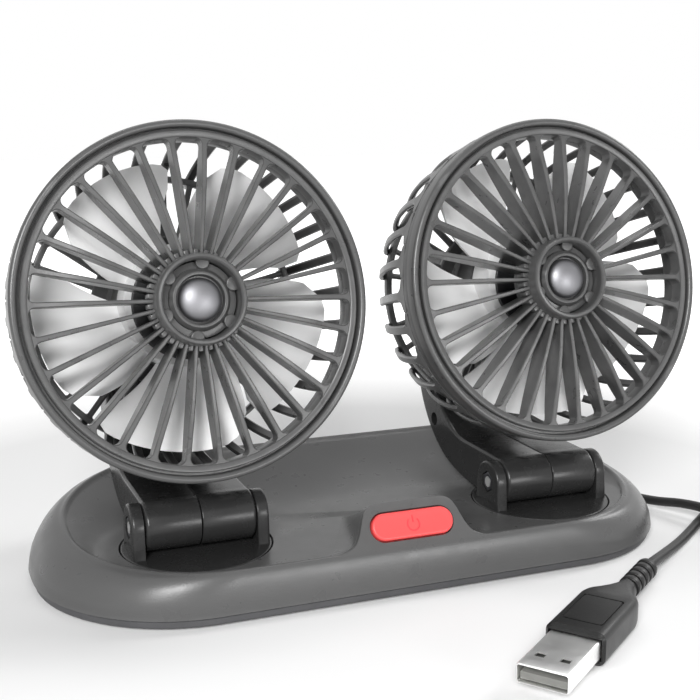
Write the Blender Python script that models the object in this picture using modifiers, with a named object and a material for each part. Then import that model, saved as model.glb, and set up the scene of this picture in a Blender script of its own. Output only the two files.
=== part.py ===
"""A small desk and dashboard fan with two tilting heads on one long base, modelled piece by piece.

Metres, +Z up. The origin is in the middle of the base's underside, +X runs along the base and the
fans face -Y. Each head hangs on three empties: its turntable axis, its hinge axis and its own frame,
whose local +Z points out of the fan's front.
"""

import math

import bmesh
import bpy
from mathutils import Matrix, Vector
from mathutils.geometry import intersect_point_line

# Fits shared by all pieces
GAP = 0.0003
OVERRUN = 0.002
SINK = 0.0006
SCREW_SUNK = 0.0002
SCREW_SIDES = 8
BORE_SIDES = 10

# Base: outline, heights and walls
BASE_LENGTH = 0.1810
BASE_WIDTH = 0.0842
BASE_CORNER = 0.0394
FOOT_PROUD = 0.0006
SEAM_Z = 0.0027
FLOOR_Z = 0.0126
CREST_FRONT_Z = 0.0130
CREST_BACK_Z = 0.0208
CREST_FRONT_INSET = 0.0019
CREST_END_INSET = 0.0085
CREST_BACK_INSET = 0.0030
CREST_WIDTH = 0.0016
CREST_ROUND = 0.0003
CREST_POWER_SHARE = 2.0
TRAY_HALF_LENGTH = 0.0760
TRAY_BACK_Y = 0.0050
TRAY_LIP = 0.0008
TRAY_POWER_SHARE = 1.6
WALL = 0.0022
CREST_WALL = 0.0035
ROOF_Z = 0.0082
CORNER_STEPS = 6
WALL_SHARES = ((0.0, 0.0), (0.35, 0.10), (0.70, 0.38), (0.92, 0.72), (1.0, 1.0))
TRAY_SHARES = (0.3, 0.62, 1.0)

# Bottom cover
COVER_EDGE_INSET = 0.0008
COVER_CHAMFER = 0.0004
COVER_STEP = 0.0009

# Rubber feet
FOOT_RADIUS = 0.0050
FOOT_THICKNESS = 0.0015
FOOT_SIDES = 12
FOOT_X = 0.0700
FOOT_Y = 0.0200

# Screws of the cover and their bosses
BASE_SCREW_RADIUS = 0.0011
BASE_SCREW_HEAD = 0.0024
BASE_SCREW_HEAD_HEIGHT = 0.0010
BASE_SCREW_LENGTH = 0.0070
BOSS_RADIUS = 0.0032
BACK_BOSS_X = 0.0400
BACK_BOSS_Y = 0.0280
BACK_BOSS_TOP = 0.0154
FRONT_BOSS_X = 0.0270
FRONT_BOSS_Y = -0.0320
FRONT_BOSS_TOP = 0.0100

# Raised block that carries the button
BLOCK_FACE_Y = -0.0406
BLOCK_FACE_Z = 0.0125
BLOCK_SLOPE = 60.0
BLOCK_HALF_WIDTH = 0.0212
BLOCK_HEIGHT = 0.0120
BLOCK_X = 0.0007
BLOCK_REAR_Y = -0.0112
BLOCK_REAR_HALF_WIDTH = 0.0130
BLOCK_ROUND = 0.0009
BLOCK_SHARES = (
    (-1.0, -0.06), (-0.9, 0.02), (-0.78, 0.16), (-0.70, 0.36), (-0.62, 0.72), (-0.56, 0.90), (-0.44, 1.0),
    (0.44, 1.0), (0.56, 0.90), (0.62, 0.72), (0.70, 0.36), (0.78, 0.16), (0.9, 0.02), (1.0, -0.06),
)

# Button, its switch and the board behind it
BUTTON_LENGTH = 0.0226
BUTTON_WIDTH = 0.0070
BUTTON_PROUD = 0.0008
BUTTON_SLOPE_SHARE = 0.53
BUTTON_ROUND = 0.0004
BUTTON_FLANGE = 0.0008
BUTTON_FLANGE_HEIGHT = 0.0008
BUTTON_TRAVEL = 0.0008
BLOCK_WALL = 0.0018
SWITCH_ROOM_DEPTH = 0.0042
BOARD_DEPTH = 0.0088
BOARD_HALF_LENGTH = 0.0080
BOARD_HALF_WIDTH = 0.0046
BOARD_LEDGE = 0.0010
BOARD_THICKNESS = 0.0012
BOARD_POCKET = 0.0030
SWITCH_SIDE = 0.0060
SWITCH_HEIGHT = 0.0032
PLUNGER_RADIUS = 0.0016
PLUNGER_HEIGHT = 0.0008
STEM_RADIUS = 0.0018

# Cord gland in the back wall
GLAND_X = 0.0380
GLAND_Z = 0.0064
GLAND_SHANK = 0.0020
GLAND_COLLAR = 0.0028
GLAND_COLLAR_LENGTH = 0.0012
GLAND_TIP = 0.0019
GLAND_LENGTH = 0.0120
GLAND_FLANGE_LENGTH = 0.0012
GLAND_THROUGH = 0.0034
GLAND_SIDES = 12

# Turntables
HEAD_SPACING = 0.1012
TURN_Y = -0.0167
DISC_RADIUS = 0.0193
DISC_THICKNESS = 0.0018
STEM_HUB_RADIUS = 0.0080
NECK_RADIUS = 0.0050
NECK_LENGTH = 0.0028
CLIP_RADIUS = 0.0110
CLIP_THICKNESS = 0.0018
CLIP_STEPS = 14
DISC_STEPS = 24

# Hinge between the ears
HINGE_Y = -0.0173
HINGE_Z = 0.0194
BARREL_RADIUS = 0.0064
BARREL_LENGTH = 0.0284
EAR_THICKNESS = 0.0031
EAR_HALF_WIDTH = 0.0060
EAR_ARC_STEPS = 6
BARREL_ARC_STEPS = 8
PIN_RADIUS = 0.0015
PIN_HEAD_RADIUS = 0.0027
PIN_HEAD_HEIGHT = 0.0014
NUT_RADIUS = 0.0029
NUT_THICKNESS = 0.0015

# Arm: its side outline is drawn from pairs of points on its upper and under edge, from the hinge up
ARM_REACH = 0.0551
ARM_RISE = 0.0306
ARM_TOP_SHARES = (
    (0.024, 0.206), (0.260, 0.209), (0.432, 0.216), (0.532, 0.271), (0.635, 0.389),
    (0.717, 0.542), (0.766, 0.739), (0.775, 0.967),
)
ARM_UNDER_SHARES = (
    (0.024, -0.206), (0.260, -0.199), (0.450, -0.157), (0.626, -0.062), (0.789, 0.137),
    (0.906, 0.395), (0.971, 0.673), (1.0, 1.0),
)
ARM_PAD_HALF = 0.0085
ARM_PAD_BACK = 0.0480
ARM_PAD_THICKNESS = 0.0105
ARM_PAD_TOP = 0.0045
ARM_SEAM = 0.0003
ARM_SCREW_BACK = 0.0411
ARM_SCREW_UP = 0.0080
ARM_SCREW_RADIUS = 0.0010
ARM_SCREW_HEAD = 0.0017
ARM_SCREW_HEAD_HEIGHT = 0.0012
ARM_SCREW_DEPTH = 0.0030
ARM_SCREW_REACH = 0.0060

# Head frame: the plane of the guard's widest circle
RING_Y = -0.0227
RING_Z = 0.0764
RING_TILT = 12.5
RING_RADIUS = 0.0440
RING_STEPS = 60

# Guard: ring, fins and collar
GUARD_FRONT = 0.0012
GUARD_BACK = 0.0030
GUARD_RING_WIDTH = 0.0044
GUARD_OPENING = RING_RADIUS - GUARD_RING_WIDTH
GUARD_ROUND = 0.0007
FIN_COUNT = 30
FIN_SEAT = 0.0004
FIN_FLARE = 0.0012
FIN_ROOT_WIDTH = 0.0008
FIN_NECK_WIDTH = 0.0014
FIN_FLARE_WIDTH = 0.0036
FIN_FRONT = 0.0004
FIN_ROOT_BACK = 0.0066
FIN_NECK_BACK = 0.0030
FIN_SEAT_BACK = 0.0026
COLLAR_OUTER = 0.0111
COLLAR_INNER = 0.0095
COLLAR_BACK = 0.0070
TORUS_FRONT = 0.0026
TORUS_ROUND = 0.0006
COLLAR_LEDGE = 0.0012
COLLAR_STEPS = 30

# Hub cap
CAP_DOME = 0.0053
CAP_DOME_FRONT = 0.0034
CAP_RING_OUTER = 0.0074
CAP_RING_INNER = 0.0063
CAP_RING_FRONT = 0.0019
CAP_FLOOR = 0.0003
CAP_GROOVE = 0.0010
CAP_BACK = 0.0045
CAP_STEPS = 18
DOME_STEPS = 3
TAB_SIDES = 6
TAB_COUNT = 6
TAB_RADIUS = 0.0011
TAB_PLACE = 0.0081
TAB_FRONT = 0.0012
TAB_TURN = 22.0

# Basket behind the guard
BAND_STEP = 0.0004
BAND_WALL = 0.0014
BAND_OUTER = RING_RADIUS - BAND_STEP
BAND_INNER = BAND_OUTER - BAND_WALL
BAND_BACK = 0.0088
SLAT_WIDTH = 0.0024
SLAT_THICKNESS = 0.0012
SLAT_SINK = 0.0008
HOOP_INSET = 0.0044
HOOP_RADIUS = BAND_OUTER - HOOP_INSET
HOOP_BACK = 0.0262
HOOP_SIZE = 0.0015
PLATE_RADIUS = 0.0150
PLATE_FRONT = 0.0258
PLATE_THICKNESS = 0.0022
PLATE_SIDES = 24
PLATE_RIM = 0.0024
STRUT_COUNT = 6
STRUT_WIDTH = 0.0030
STRUT_TURN = 48.0
BRACKET_HALF_WIDTH = 0.0105
BRACKET_HALF_HEIGHT = 0.0080
BRACKET_BEVEL = 0.0008

# Motor, shaft and rotor
MOTOR_RADIUS = 0.0125
MOTOR_FRONT = 0.0134
MOTOR_ROUND = 0.0010
MOTOR_STEPS = 20
SHAFT_RADIUS = 0.0010
SHAFT_DEPTH = 0.0080
ROTOR_CUP = 0.0155
ROTOR_CUP_WALL = 0.0014
ROTOR_FRONT = 0.0110
ROTOR_WEB = 0.0016
ROTOR_CUP_BACK = 0.0212
ROTOR_STEPS = 20
ROTOR_CAP_RADIUS = 0.0138
ROTOR_CAP_FRONT = 0.0098
BLADE_COUNT = 5
BLADE_TIP = 0.0355
BLADE_ROOT = 0.0150
BLADE_HALF_ANGLE = 26.0
BLADE_MIDDLE = 0.0160
BLADE_DEPTH = 0.0042
BLADE_THICKNESS = 0.0010
BLADE_TURN = 55.0
BLADE_RADIUS_SHARES = (0.0, 0.86, 1.0)
BLADE_WIDTH_SHARES = (0.92, 1.0, 0.66)
BLADE_CHORD_SHARES = (-1.0, 0.0, 1.0)
BRACKET_SCREW_PLACE = 0.0080
BRACKET_SCREW_RADIUS = 0.0011
BRACKET_SCREW_HEAD = 0.0023
BRACKET_SCREW_HEAD_HEIGHT = 0.0014
BRACKET_SCREW_REACH = 0.0070

# Cord and its coil
CORD_DIAMETER = 0.0028
CORD_STEP = 0.0078
COIL_MIDDLE_RADIUS = 0.0168
COIL_PITCH = 0.00335
COIL_TURNS = 8
COIL_ENTRY = 180.0
COIL_EXIT = 125.0
COIL_X = 0.1270
COIL_Y = -0.0350
COIL_POINTS = 24
CORD_LEVEL = 0.0016
CORD_SIDES = 2
COIL_SIDES = 1

# Points that the free cord passes from the gland to the coil: round the base's right end
LEAD_POINTS = (
    (0.0382, 0.0606, 0.0058), (0.0405, 0.0648, 0.0040), (0.0455, 0.0684, 0.0024), (0.0520, 0.0694, 0.0017),
    (0.0612, 0.0664, 0.0016), (0.0710, 0.0592, 0.0016), (0.0800, 0.0490, 0.0016), (0.0872, 0.0366, 0.0016),
    (0.0916, 0.0240, 0.0016), (0.0936, 0.0120, 0.0016), (0.0950, 0.0010, 0.0020), (0.0974, -0.0085, 0.0030),
    (0.1002, -0.0160, 0.0043), (0.1024, -0.0225, 0.0049),
)

# Plug: front face, how it lies, shell and tongue
PLUG_X = 0.0018
PLUG_Y = -0.1000
PLUG_Z = 0.0043
PLUG_TURN = 37.0
PLUG_SHELL_LENGTH = 0.0190
PLUG_SHELL_WIDTH = 0.0120
PLUG_SHELL_HEIGHT = 0.0045
PLUG_SHELL_WALL = 0.0004
PLUG_SHELL_SEAT = 0.0030
PLUG_HOLE_SIDE = 0.0022
PLUG_HOLE_X = 0.0062
PLUG_HOLE_Y = 0.0029
PLUG_TONGUE_THICKNESS = 0.0018
PLUG_TONGUE_INSET = 0.0006

# Plug body. Its rings are shares of its length, half width and half height, with the corner as a share
# of the last
PLUG_BODY_LENGTH = 0.0368
PLUG_HALF_WIDTH = 0.0079
PLUG_HALF_HEIGHT = 0.0040
PLUG_RING_SHARES = (
    (0.0, 0.91, 0.83, 0.35), (0.018, 1.0, 1.0, 0.50), (0.600, 1.0, 1.0, 0.50), (0.680, 0.93, 0.95, 0.60),
    (0.763, 0.75, 0.85, 0.70), (0.859, 0.55, 0.75, 0.75), (0.939, 0.41, 0.70, 0.70), (1.0, 0.354, 0.70, 0.70),
)
PLUG_CORNER_STEPS = 2
RIB_COUNT = 5
RIB_PITCH = 0.0033
RIB_LENGTH = 0.0020
RIB_RADIUS = 0.0028
RIB_NECK = 0.0021

PARTS = "dual_head_fan"
CUTTERS = "dual_head_fan_cutters"
BENCH = "dual_head_fan_bench"
PATH_FINENESS = 24
SIDES = {"left": -0.5, "right": 0.5}


# Scene, materials and small helpers


def clear_scene():
    for obj in list(bpy.data.objects):
        bpy.data.objects.remove(obj, do_unlink=True)


def new_collection(name):
    made = bpy.data.collections.new(name)
    bpy.context.scene.collection.children.link(made)
    return made


def finish(name, colour, roughness, metallic=0.0):
    made = bpy.data.materials.new(name)
    made.use_nodes = True
    shader = made.node_tree.nodes["Principled BSDF"]
    shader.inputs["Base Color"].default_value = (*colour, 1.0)
    shader.inputs["Roughness"].default_value = roughness
    shader.inputs["Metallic"].default_value = metallic
    made.diffuse_color = (*colour, 1.0)
    return made


def mesh_of(shape, name):
    """The shape as a mesh with its doubles merged and its faces pointing out."""
    bmesh.ops.remove_doubles(shape, verts=shape.verts, dist=GAP / 100)
    bmesh.ops.recalc_face_normals(shape, faces=shape.faces)
    mesh = bpy.data.meshes.new(name)
    shape.to_mesh(mesh)
    shape.free()
    return mesh


def moved(mesh, matrix):
    mesh.transform(matrix)
    return mesh


def evaluated(obj, name):
    """The object's finished mesh. The object itself is removed."""
    bpy.context.view_layer.update()
    graph = bpy.context.evaluated_depsgraph_get()
    mesh = bpy.data.meshes.new_from_object(obj.evaluated_get(graph))
    bpy.data.objects.remove(obj, do_unlink=True)
    shape = bmesh.new()
    shape.from_mesh(mesh)
    bpy.data.meshes.remove(mesh)
    return mesh_of(shape, name)


def on_bench(data, name):
    obj = bpy.data.objects.new(name, data)
    bench.objects.link(obj)
    return obj


def empty(name, location, rotation=(0, 0, 0), parent=None):
    made = bpy.data.objects.new(name, None)
    made.empty_display_size = DISC_RADIUS
    made.location = location
    made.rotation_euler = rotation
    made.parent = parent
    parts.objects.link(made)
    return made


def place(mesh, name, material, parent=None, location=(0, 0, 0), rotation=(0, 0, 0), sharp=35.0):
    """The mesh as a named piece of the fan, shaded smooth up to the sharp angle."""
    mesh.name = name
    mesh.shade_smooth()
    mesh.set_sharp_from_angle(angle=math.radians(sharp))
    if not mesh.materials:
        mesh.materials.append(material)
    piece = bpy.data.objects.new(name, mesh)
    piece.location = location
    piece.rotation_euler = rotation
    piece.parent = parent
    parts.objects.link(piece)
    return piece


# Shapes


def loft(rings, name):
    """A closed skin through rings of the same number of points, capped at both ends."""
    shape = bmesh.new()
    add_skin(shape, rings)
    return mesh_of(shape, name)


def add_skin(shape, rings):
    rows = [[shape.verts.new(point) for point in ring] for ring in rings]
    count = len(rows[0])
    for low, high in zip(rows, rows[1:]):
        for k in range(count):
            after = (k + 1) % count
            shape.faces.new((low[k], low[after], high[after], high[k]))
    shape.faces.new(list(reversed(rows[0])))
    shape.faces.new(rows[-1])


def turned(profile, steps, name, closed=False, half_step=False):
    """A profile of (radius, height) points, outer side running down, turned about Z.

    A half step brings the middle of a facet to +X, where the bars of a grille meet a ring.
    """
    shape = bmesh.new()
    points = [shape.verts.new((radius, 0, height)) for radius, height in profile]
    for start, end in zip(points, points[1:]):
        shape.edges.new((start, end))
    if closed:
        shape.edges.new((points[-1], points[0]))
    mesh = bpy.data.meshes.new(name)
    shape.to_mesh(mesh)
    shape.free()
    obj = on_bench(mesh, name)
    screw = obj.modifiers.new("turn", "SCREW")
    screw.axis = "Z"
    screw.steps = steps
    screw.render_steps = steps
    screw.use_merge_vertices = True
    screw.merge_threshold = GAP / 100
    made = evaluated(obj, name)
    return moved(made, Matrix.Rotation(math.pi / steps, 4, "Z")) if half_step else made


def cylinder(radius, low, high, name, sides=16):
    shape = bmesh.new()
    bmesh.ops.create_cone(
        shape, cap_ends=True, segments=sides, radius1=radius, radius2=radius, depth=high - low
    )
    bmesh.ops.translate(shape, verts=shape.verts, vec=(0, 0, (low + high) / 2))
    return mesh_of(shape, name)


def box(low, high, name):
    shape = bmesh.new()
    bmesh.ops.create_cube(shape, size=1)
    size = [b - a for a, b in zip(low, high)]
    middle = [(a + b) / 2 for a, b in zip(low, high)]
    bmesh.ops.scale(shape, verts=shape.verts, vec=size)
    bmesh.ops.translate(shape, verts=shape.verts, vec=middle)
    return mesh_of(shape, name)


def stadium(length, width, low, high, name, steps=5):
    """An upright prism with two straight sides and round ends, its length along X."""
    half = (length - width) / 2
    radius = width / 2
    outline = []
    for side, start in ((1, -90), (-1, 90)):
        for k in range(steps + 1):
            angle = math.radians(start + 180 * k / steps)
            outline.append((side * half + radius * math.cos(angle), radius * math.sin(angle)))
    return loft([[(x, y, low) for x, y in outline], [(x, y, high) for x, y in outline]], name)


def extruded(outline, half_thickness, name):
    """A flat outline in X and Y with half its thickness on each side, made from a 2D curve."""
    curve = bpy.data.curves.new(name, "CURVE")
    curve.dimensions = "2D"
    curve.fill_mode = "BOTH"
    curve.extrude = half_thickness
    spline = curve.splines.new("POLY")
    spline.points.add(len(outline) - 1)
    for point, (x, y) in zip(spline.points, outline):
        point.co = (x, y, 0, 1)
    spline.use_cyclic_u = True
    return evaluated(on_bench(curve, name), name)


def boolean(mesh, others, operation):
    """The mesh after each of the others is joined to it or cut from it."""
    name = mesh.name
    target = on_bench(mesh, name)
    helpers = []
    for other in others:
        helper = on_bench(other, other.name)
        step = target.modifiers.new(operation.lower(), "BOOLEAN")
        step.operation = operation
        step.object = helper
        helpers.append(helper)
    made = evaluated(target, name)
    for helper in helpers:
        bpy.data.objects.remove(helper, do_unlink=True)
    return made


def joined(mesh, *others):
    return boolean(mesh, others, "UNION")


def cut(mesh, *others):
    return boolean(mesh, others, "DIFFERENCE")


def bevelled(mesh, width, segments=1, angle=50.0):
    obj = on_bench(mesh, mesh.name)
    bevel = obj.modifiers.new("edges", "BEVEL")
    bevel.width = width
    bevel.segments = segments
    bevel.limit_method = "ANGLE"
    bevel.angle_limit = math.radians(angle)
    return evaluated(obj, mesh.name)


def screw_shape(head_radius, head_height, shank_radius, reach, name):
    """A screw with its head's top at the origin and its shank along -Z."""
    tip = -head_height - reach
    profile = (
        (0, 0), (head_radius, 0), (head_radius, -head_height), (shank_radius, -head_height),
        (shank_radius, tip), (0, tip),
    )
    return turned(profile, SCREW_SIDES, name)


def screw_hole(head_radius, head_height, shank_radius, reach, above, name):
    """The room that such a screw needs, with its counterbore open above."""
    tip = -head_height - reach - GAP
    seat = -head_height - GAP
    head = head_radius + GAP
    shank = shank_radius + GAP
    profile = ((0, above), (head, above), (head, seat), (shank, seat), (shank, tip), (0, tip))
    return turned(profile, SCREW_SIDES, name)


TO_X = Matrix.Rotation(math.radians(90), 4, "Y")
UPSIDE_DOWN = Matrix.Rotation(math.radians(180), 4, "X")
# Turns an outline drawn in (Y, Z) and extruded along Z into one that stands in the YZ plane
SIDEWAYS = Matrix(((0, 0, 1, 0), (1, 0, 0, 0), (0, 1, 0, 0), (0, 0, 0, 1)))


# Base


def rounded_outline(half_length, front, back, corner, steps=CORNER_STEPS):
    """Points of a rounded rectangle, anticlockwise from above, as many for any size."""
    corner = min(corner, (back - front) / 2)
    centres = (
        (half_length - corner, back - corner, 0), (corner - half_length, back - corner, 90),
        (corner - half_length, front + corner, 180), (half_length - corner, front + corner, 270),
    )
    outline = []
    for x, y, start in centres:
        for k in range(steps + 1):
            angle = math.radians(start + 90 * k / steps)
            outline.append((x + corner * math.cos(angle), y + corner * math.sin(angle)))
    return outline


def base_outline(inset_share, extra=0.0):
    """The base's outline, drawn in by a share of the crest's inset and by an even extra width."""
    half_length = BASE_LENGTH / 2 - CREST_END_INSET * inset_share - extra
    front = -BASE_WIDTH / 2 + CREST_FRONT_INSET * inset_share + extra
    back = BASE_WIDTH / 2 - CREST_BACK_INSET * inset_share - extra
    return rounded_outline(half_length, front, back, BASE_CORNER - CREST_FRONT_INSET * inset_share - extra)


def crest_height(y):
    """The height of the casing's crest, which rises from the front to the back."""
    front = -BASE_WIDTH / 2 + CREST_FRONT_INSET
    back = BASE_WIDTH / 2 - CREST_BACK_INSET
    share = min(max((y - front) / (back - front), 0), 1)
    return CREST_FRONT_Z + (CREST_BACK_Z - CREST_FRONT_Z) * share**CREST_POWER_SHARE


def shell_bottom():
    return SEAM_Z + GAP


def rise(outline, share, drop=0.0):
    """The outline lifted to a share of the way from the casing's edge to its crest."""
    low = shell_bottom()
    return [(x, y, low + (crest_height(y) - low) * share - drop) for x, y in outline]


def floor_outline(grown=0.0):
    front = -BASE_WIDTH / 2 + CREST_FRONT_INSET + CREST_WIDTH + TRAY_LIP
    back = TRAY_BACK_Y + grown
    return rounded_outline(TRAY_HALF_LENGTH + grown, front, back, BASE_CORNER)


def casing():
    """The solid between the outer wall and the tray, before it is hollowed."""
    rings = [rise(base_outline(inset), level) for level, inset in WALL_SHARES]
    lip = rise(base_outline(1.0, CREST_WIDTH), 1.0, CREST_ROUND)
    rings.append(lip)
    floor = floor_outline()
    for share in TRAY_SHARES:
        ring = []
        for (x, y, z), (floor_x, floor_y) in zip(lip, floor):
            height = (z - FLOOR_Z) * (1 - share) ** TRAY_POWER_SHARE
            ring.append((x + (floor_x - x) * share, y + (floor_y - y) * share, FLOOR_Z + height))
        rings.append(ring)
    return loft(rings, "casing")


def cavity():
    """The hollow of the casing, one wall inside it."""
    level, inset = WALL_SHARES[1]
    edge = base_outline(inset, WALL)
    under_crest = rise(base_outline(1.0, WALL + GAP), 1.0, CREST_WALL)
    rings = [
        [(x, y, shell_bottom() - OVERRUN) for x, y in edge],
        rise(edge, level),
        under_crest,
        [(x, max(y, under_crest[-1][1]), ROOF_Z) for x, y in floor_outline(WALL)],
    ]
    return loft(rings, "cavity")


def block_frame():
    """The plane of the block's face: origin at the button's middle, +Y up the slope, +Z out of it."""
    slope = math.radians(BLOCK_SLOPE)
    up = BLOCK_HEIGHT * BUTTON_SLOPE_SHARE
    place_y = BLOCK_FACE_Y + up * math.cos(slope)
    place_z = BLOCK_FACE_Z + up * math.sin(slope)
    return Matrix.Translation((BLOCK_X, place_y, place_z)) @ Matrix.Rotation(slope, 4, "X")


def button_block():
    """The wedge that rises from the front crest and runs down into the tray behind."""
    face = block_frame()
    down = BLOCK_HEIGHT * BUTTON_SLOPE_SHARE
    outer = [(x * BLOCK_HALF_WIDTH, y * BLOCK_HEIGHT) for x, y in BLOCK_SHARES]
    inner_x = 1 - BLOCK_ROUND / BLOCK_HALF_WIDTH
    inner_y = 1 - BLOCK_ROUND / BLOCK_HEIGHT
    front = [face @ Vector((x * inner_x, y * inner_y - down, 0)) for x, y in outer]
    shoulder = [face @ Vector((x, y - down, -BLOCK_ROUND)) for x, y in outer]
    rear = []
    for x, y in BLOCK_SHARES:
        height = FLOOR_Z - SINK * (1 - y)
        rear.append((BLOCK_X + x * BLOCK_REAR_HALF_WIDTH, BLOCK_REAR_Y, height))
    return loft([front, shoulder, rear], "button_block")


def switch_room():
    """Everything that is cut out behind the block's face, from the button's opening to the board."""
    length = BUTTON_LENGTH + 2 * GAP
    width = BUTTON_WIDTH + 2 * GAP
    opening = stadium(length, width, -BLOCK_WALL - SINK, OVERRUN, "button_opening")
    flange = 2 * BUTTON_FLANGE
    room = stadium(length + flange, width + flange, -SWITCH_ROOM_DEPTH, -BLOCK_WALL, "flange_room")
    half_x = BOARD_HALF_LENGTH - BOARD_LEDGE
    half_y = BOARD_HALF_WIDTH - BOARD_LEDGE
    shaft = box((-half_x, -half_y, -BOARD_DEPTH - SINK), (half_x, half_y, -BLOCK_WALL - SINK), "switch_shaft")
    half_x = BOARD_HALF_LENGTH + GAP
    half_y = BOARD_HALF_WIDTH + GAP
    board = box((-half_x, -half_y, -BOARD_DEPTH - BOARD_POCKET), (half_x, half_y, -BOARD_DEPTH), "board_room")
    return [moved(piece, block_frame()) for piece in (opening, room, shaft, board)]


def base_screw_places():
    for side in (-1, 1):
        yield side * BACK_BOSS_X, BACK_BOSS_Y, BACK_BOSS_TOP
        yield side * FRONT_BOSS_X, FRONT_BOSS_Y, FRONT_BOSS_TOP


def base_screw_bottom():
    return FOOT_PROUD + SCREW_SUNK


def base_screw_cutter(x, y):
    hole = screw_hole(
        BASE_SCREW_HEAD, BASE_SCREW_HEAD_HEIGHT, BASE_SCREW_RADIUS, BASE_SCREW_LENGTH, OVERRUN,
        "base_screw_hole",
    )
    return moved(hole, Matrix.Translation((x, y, base_screw_bottom())) @ UPSIDE_DOWN)


def head_places():
    for side, share in SIDES.items():
        yield side, share * HEAD_SPACING


def turntable_cutter(x):
    """The recess that the turntable lies in and the hole of its hub."""
    recess = DISC_RADIUS + GAP
    hub = STEM_HUB_RADIUS + GAP
    ledge = FLOOR_Z - DISC_THICKNESS - GAP
    low = ROOF_Z - OVERRUN
    high = FLOOR_Z + OVERRUN
    profile = ((0, high), (recess, high), (recess, ledge), (hub, ledge), (hub, low), (0, low))
    return moved(turned(profile, DISC_STEPS, "turntable_recess"), Matrix.Translation((x, TURN_Y, 0)))


def gland_frame():
    turn = Matrix.Rotation(math.radians(-90), 4, "X")
    return Matrix.Translation((GLAND_X, BASE_WIDTH / 2 + GAP, GLAND_Z)) @ turn


def live_boolean(target, mesh, operation):
    """Adds a Boolean whose second solid stays in the cutters' collection."""
    helper = bpy.data.objects.new(mesh.name, mesh)
    helper.hide_render = True
    helper.display_type = "WIRE"
    cutters.objects.link(helper)
    step = target.modifiers.new(mesh.name, "BOOLEAN")
    step.operation = operation
    step.object = helper


def make_base_shell():
    mesh = cut(joined(casing(), button_block()), cavity())
    bosses = []
    for x, y, top in base_screw_places():
        boss = cylinder(BOSS_RADIUS, SEAM_Z + COVER_STEP + GAP, top, "screw_boss", SCREW_SIDES)
        bosses.append(moved(boss, Matrix.Translation((x, y, 0))))
    mesh = joined(mesh, *bosses)
    shell = place(mesh, "base_shell", body_plastic)
    for _, x in head_places():
        live_boolean(shell, turntable_cutter(x), "DIFFERENCE")
    for piece in switch_room():
        live_boolean(shell, piece, "DIFFERENCE")
    for x, y, _ in base_screw_places():
        live_boolean(shell, base_screw_cutter(x, y), "DIFFERENCE")
    hole = cylinder(GLAND_SHANK + GAP, -WALL - 2 * OVERRUN, OVERRUN, "gland_hole", BORE_SIDES)
    live_boolean(shell, moved(hole, gland_frame()), "DIFFERENCE")


def make_bottom_cover():
    wide = base_outline(0, COVER_EDGE_INSET)
    narrow = base_outline(WALL_SHARES[1][1], WALL + GAP)
    levels = (
        (FOOT_PROUD, base_outline(0, COVER_EDGE_INSET + COVER_CHAMFER)), (FOOT_PROUD + COVER_CHAMFER, wide),
        (SEAM_Z, wide), (SEAM_Z, narrow), (SEAM_Z + COVER_STEP, narrow),
    )
    mesh = loft([[(x, y, z) for x, y in outline] for z, outline in levels], "bottom_cover")
    cover = place(mesh, "bottom_cover", cover_plastic)
    for x, y, _ in base_screw_places():
        live_boolean(cover, base_screw_cutter(x, y), "DIFFERENCE")
    for x, y in foot_places():
        pocket = cylinder(FOOT_RADIUS + GAP, -OVERRUN, FOOT_THICKNESS + GAP, "foot_pocket", FOOT_SIDES)
        live_boolean(cover, moved(pocket, Matrix.Translation((x, y, 0))), "DIFFERENCE")


def foot_places():
    return [(x * FOOT_X, y * FOOT_Y) for x in (-1, 1) for y in (-1, 1)]


def make_base_fittings():
    foot = cylinder(FOOT_RADIUS, 0, FOOT_THICKNESS, "rubber_foot", FOOT_SIDES)
    for number, (x, y) in enumerate(foot_places(), 1):
        place(foot, f"rubber_foot_{number}", rubber, location=(x, y, 0))
    screw = screw_shape(
        BASE_SCREW_HEAD, BASE_SCREW_HEAD_HEIGHT, BASE_SCREW_RADIUS, BASE_SCREW_LENGTH, "base_screw"
    )
    for number, (x, y, _) in enumerate(base_screw_places(), 1):
        place(
            screw, f"base_screw_{number}", steel,
            location=(x, y, base_screw_bottom()), rotation=(math.pi, 0, 0),
        )
    profile = (
        (0, GLAND_LENGTH), (GLAND_TIP, GLAND_LENGTH), (GLAND_COLLAR, GLAND_COLLAR_LENGTH),
        (GLAND_COLLAR, 0), (GLAND_SHANK, 0), (GLAND_SHANK, -GLAND_THROUGH),
        (GLAND_COLLAR, -GLAND_THROUGH), (GLAND_COLLAR, -GLAND_THROUGH - GLAND_FLANGE_LENGTH),
        (0, -GLAND_THROUGH - GLAND_FLANGE_LENGTH),
    )
    gland = turned(profile, GLAND_SIDES, "cord_gland")
    where = gland_frame().to_translation()
    place(gland, "cord_gland", cord_plastic, location=where, rotation=(-math.pi / 2, 0, 0))


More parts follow.
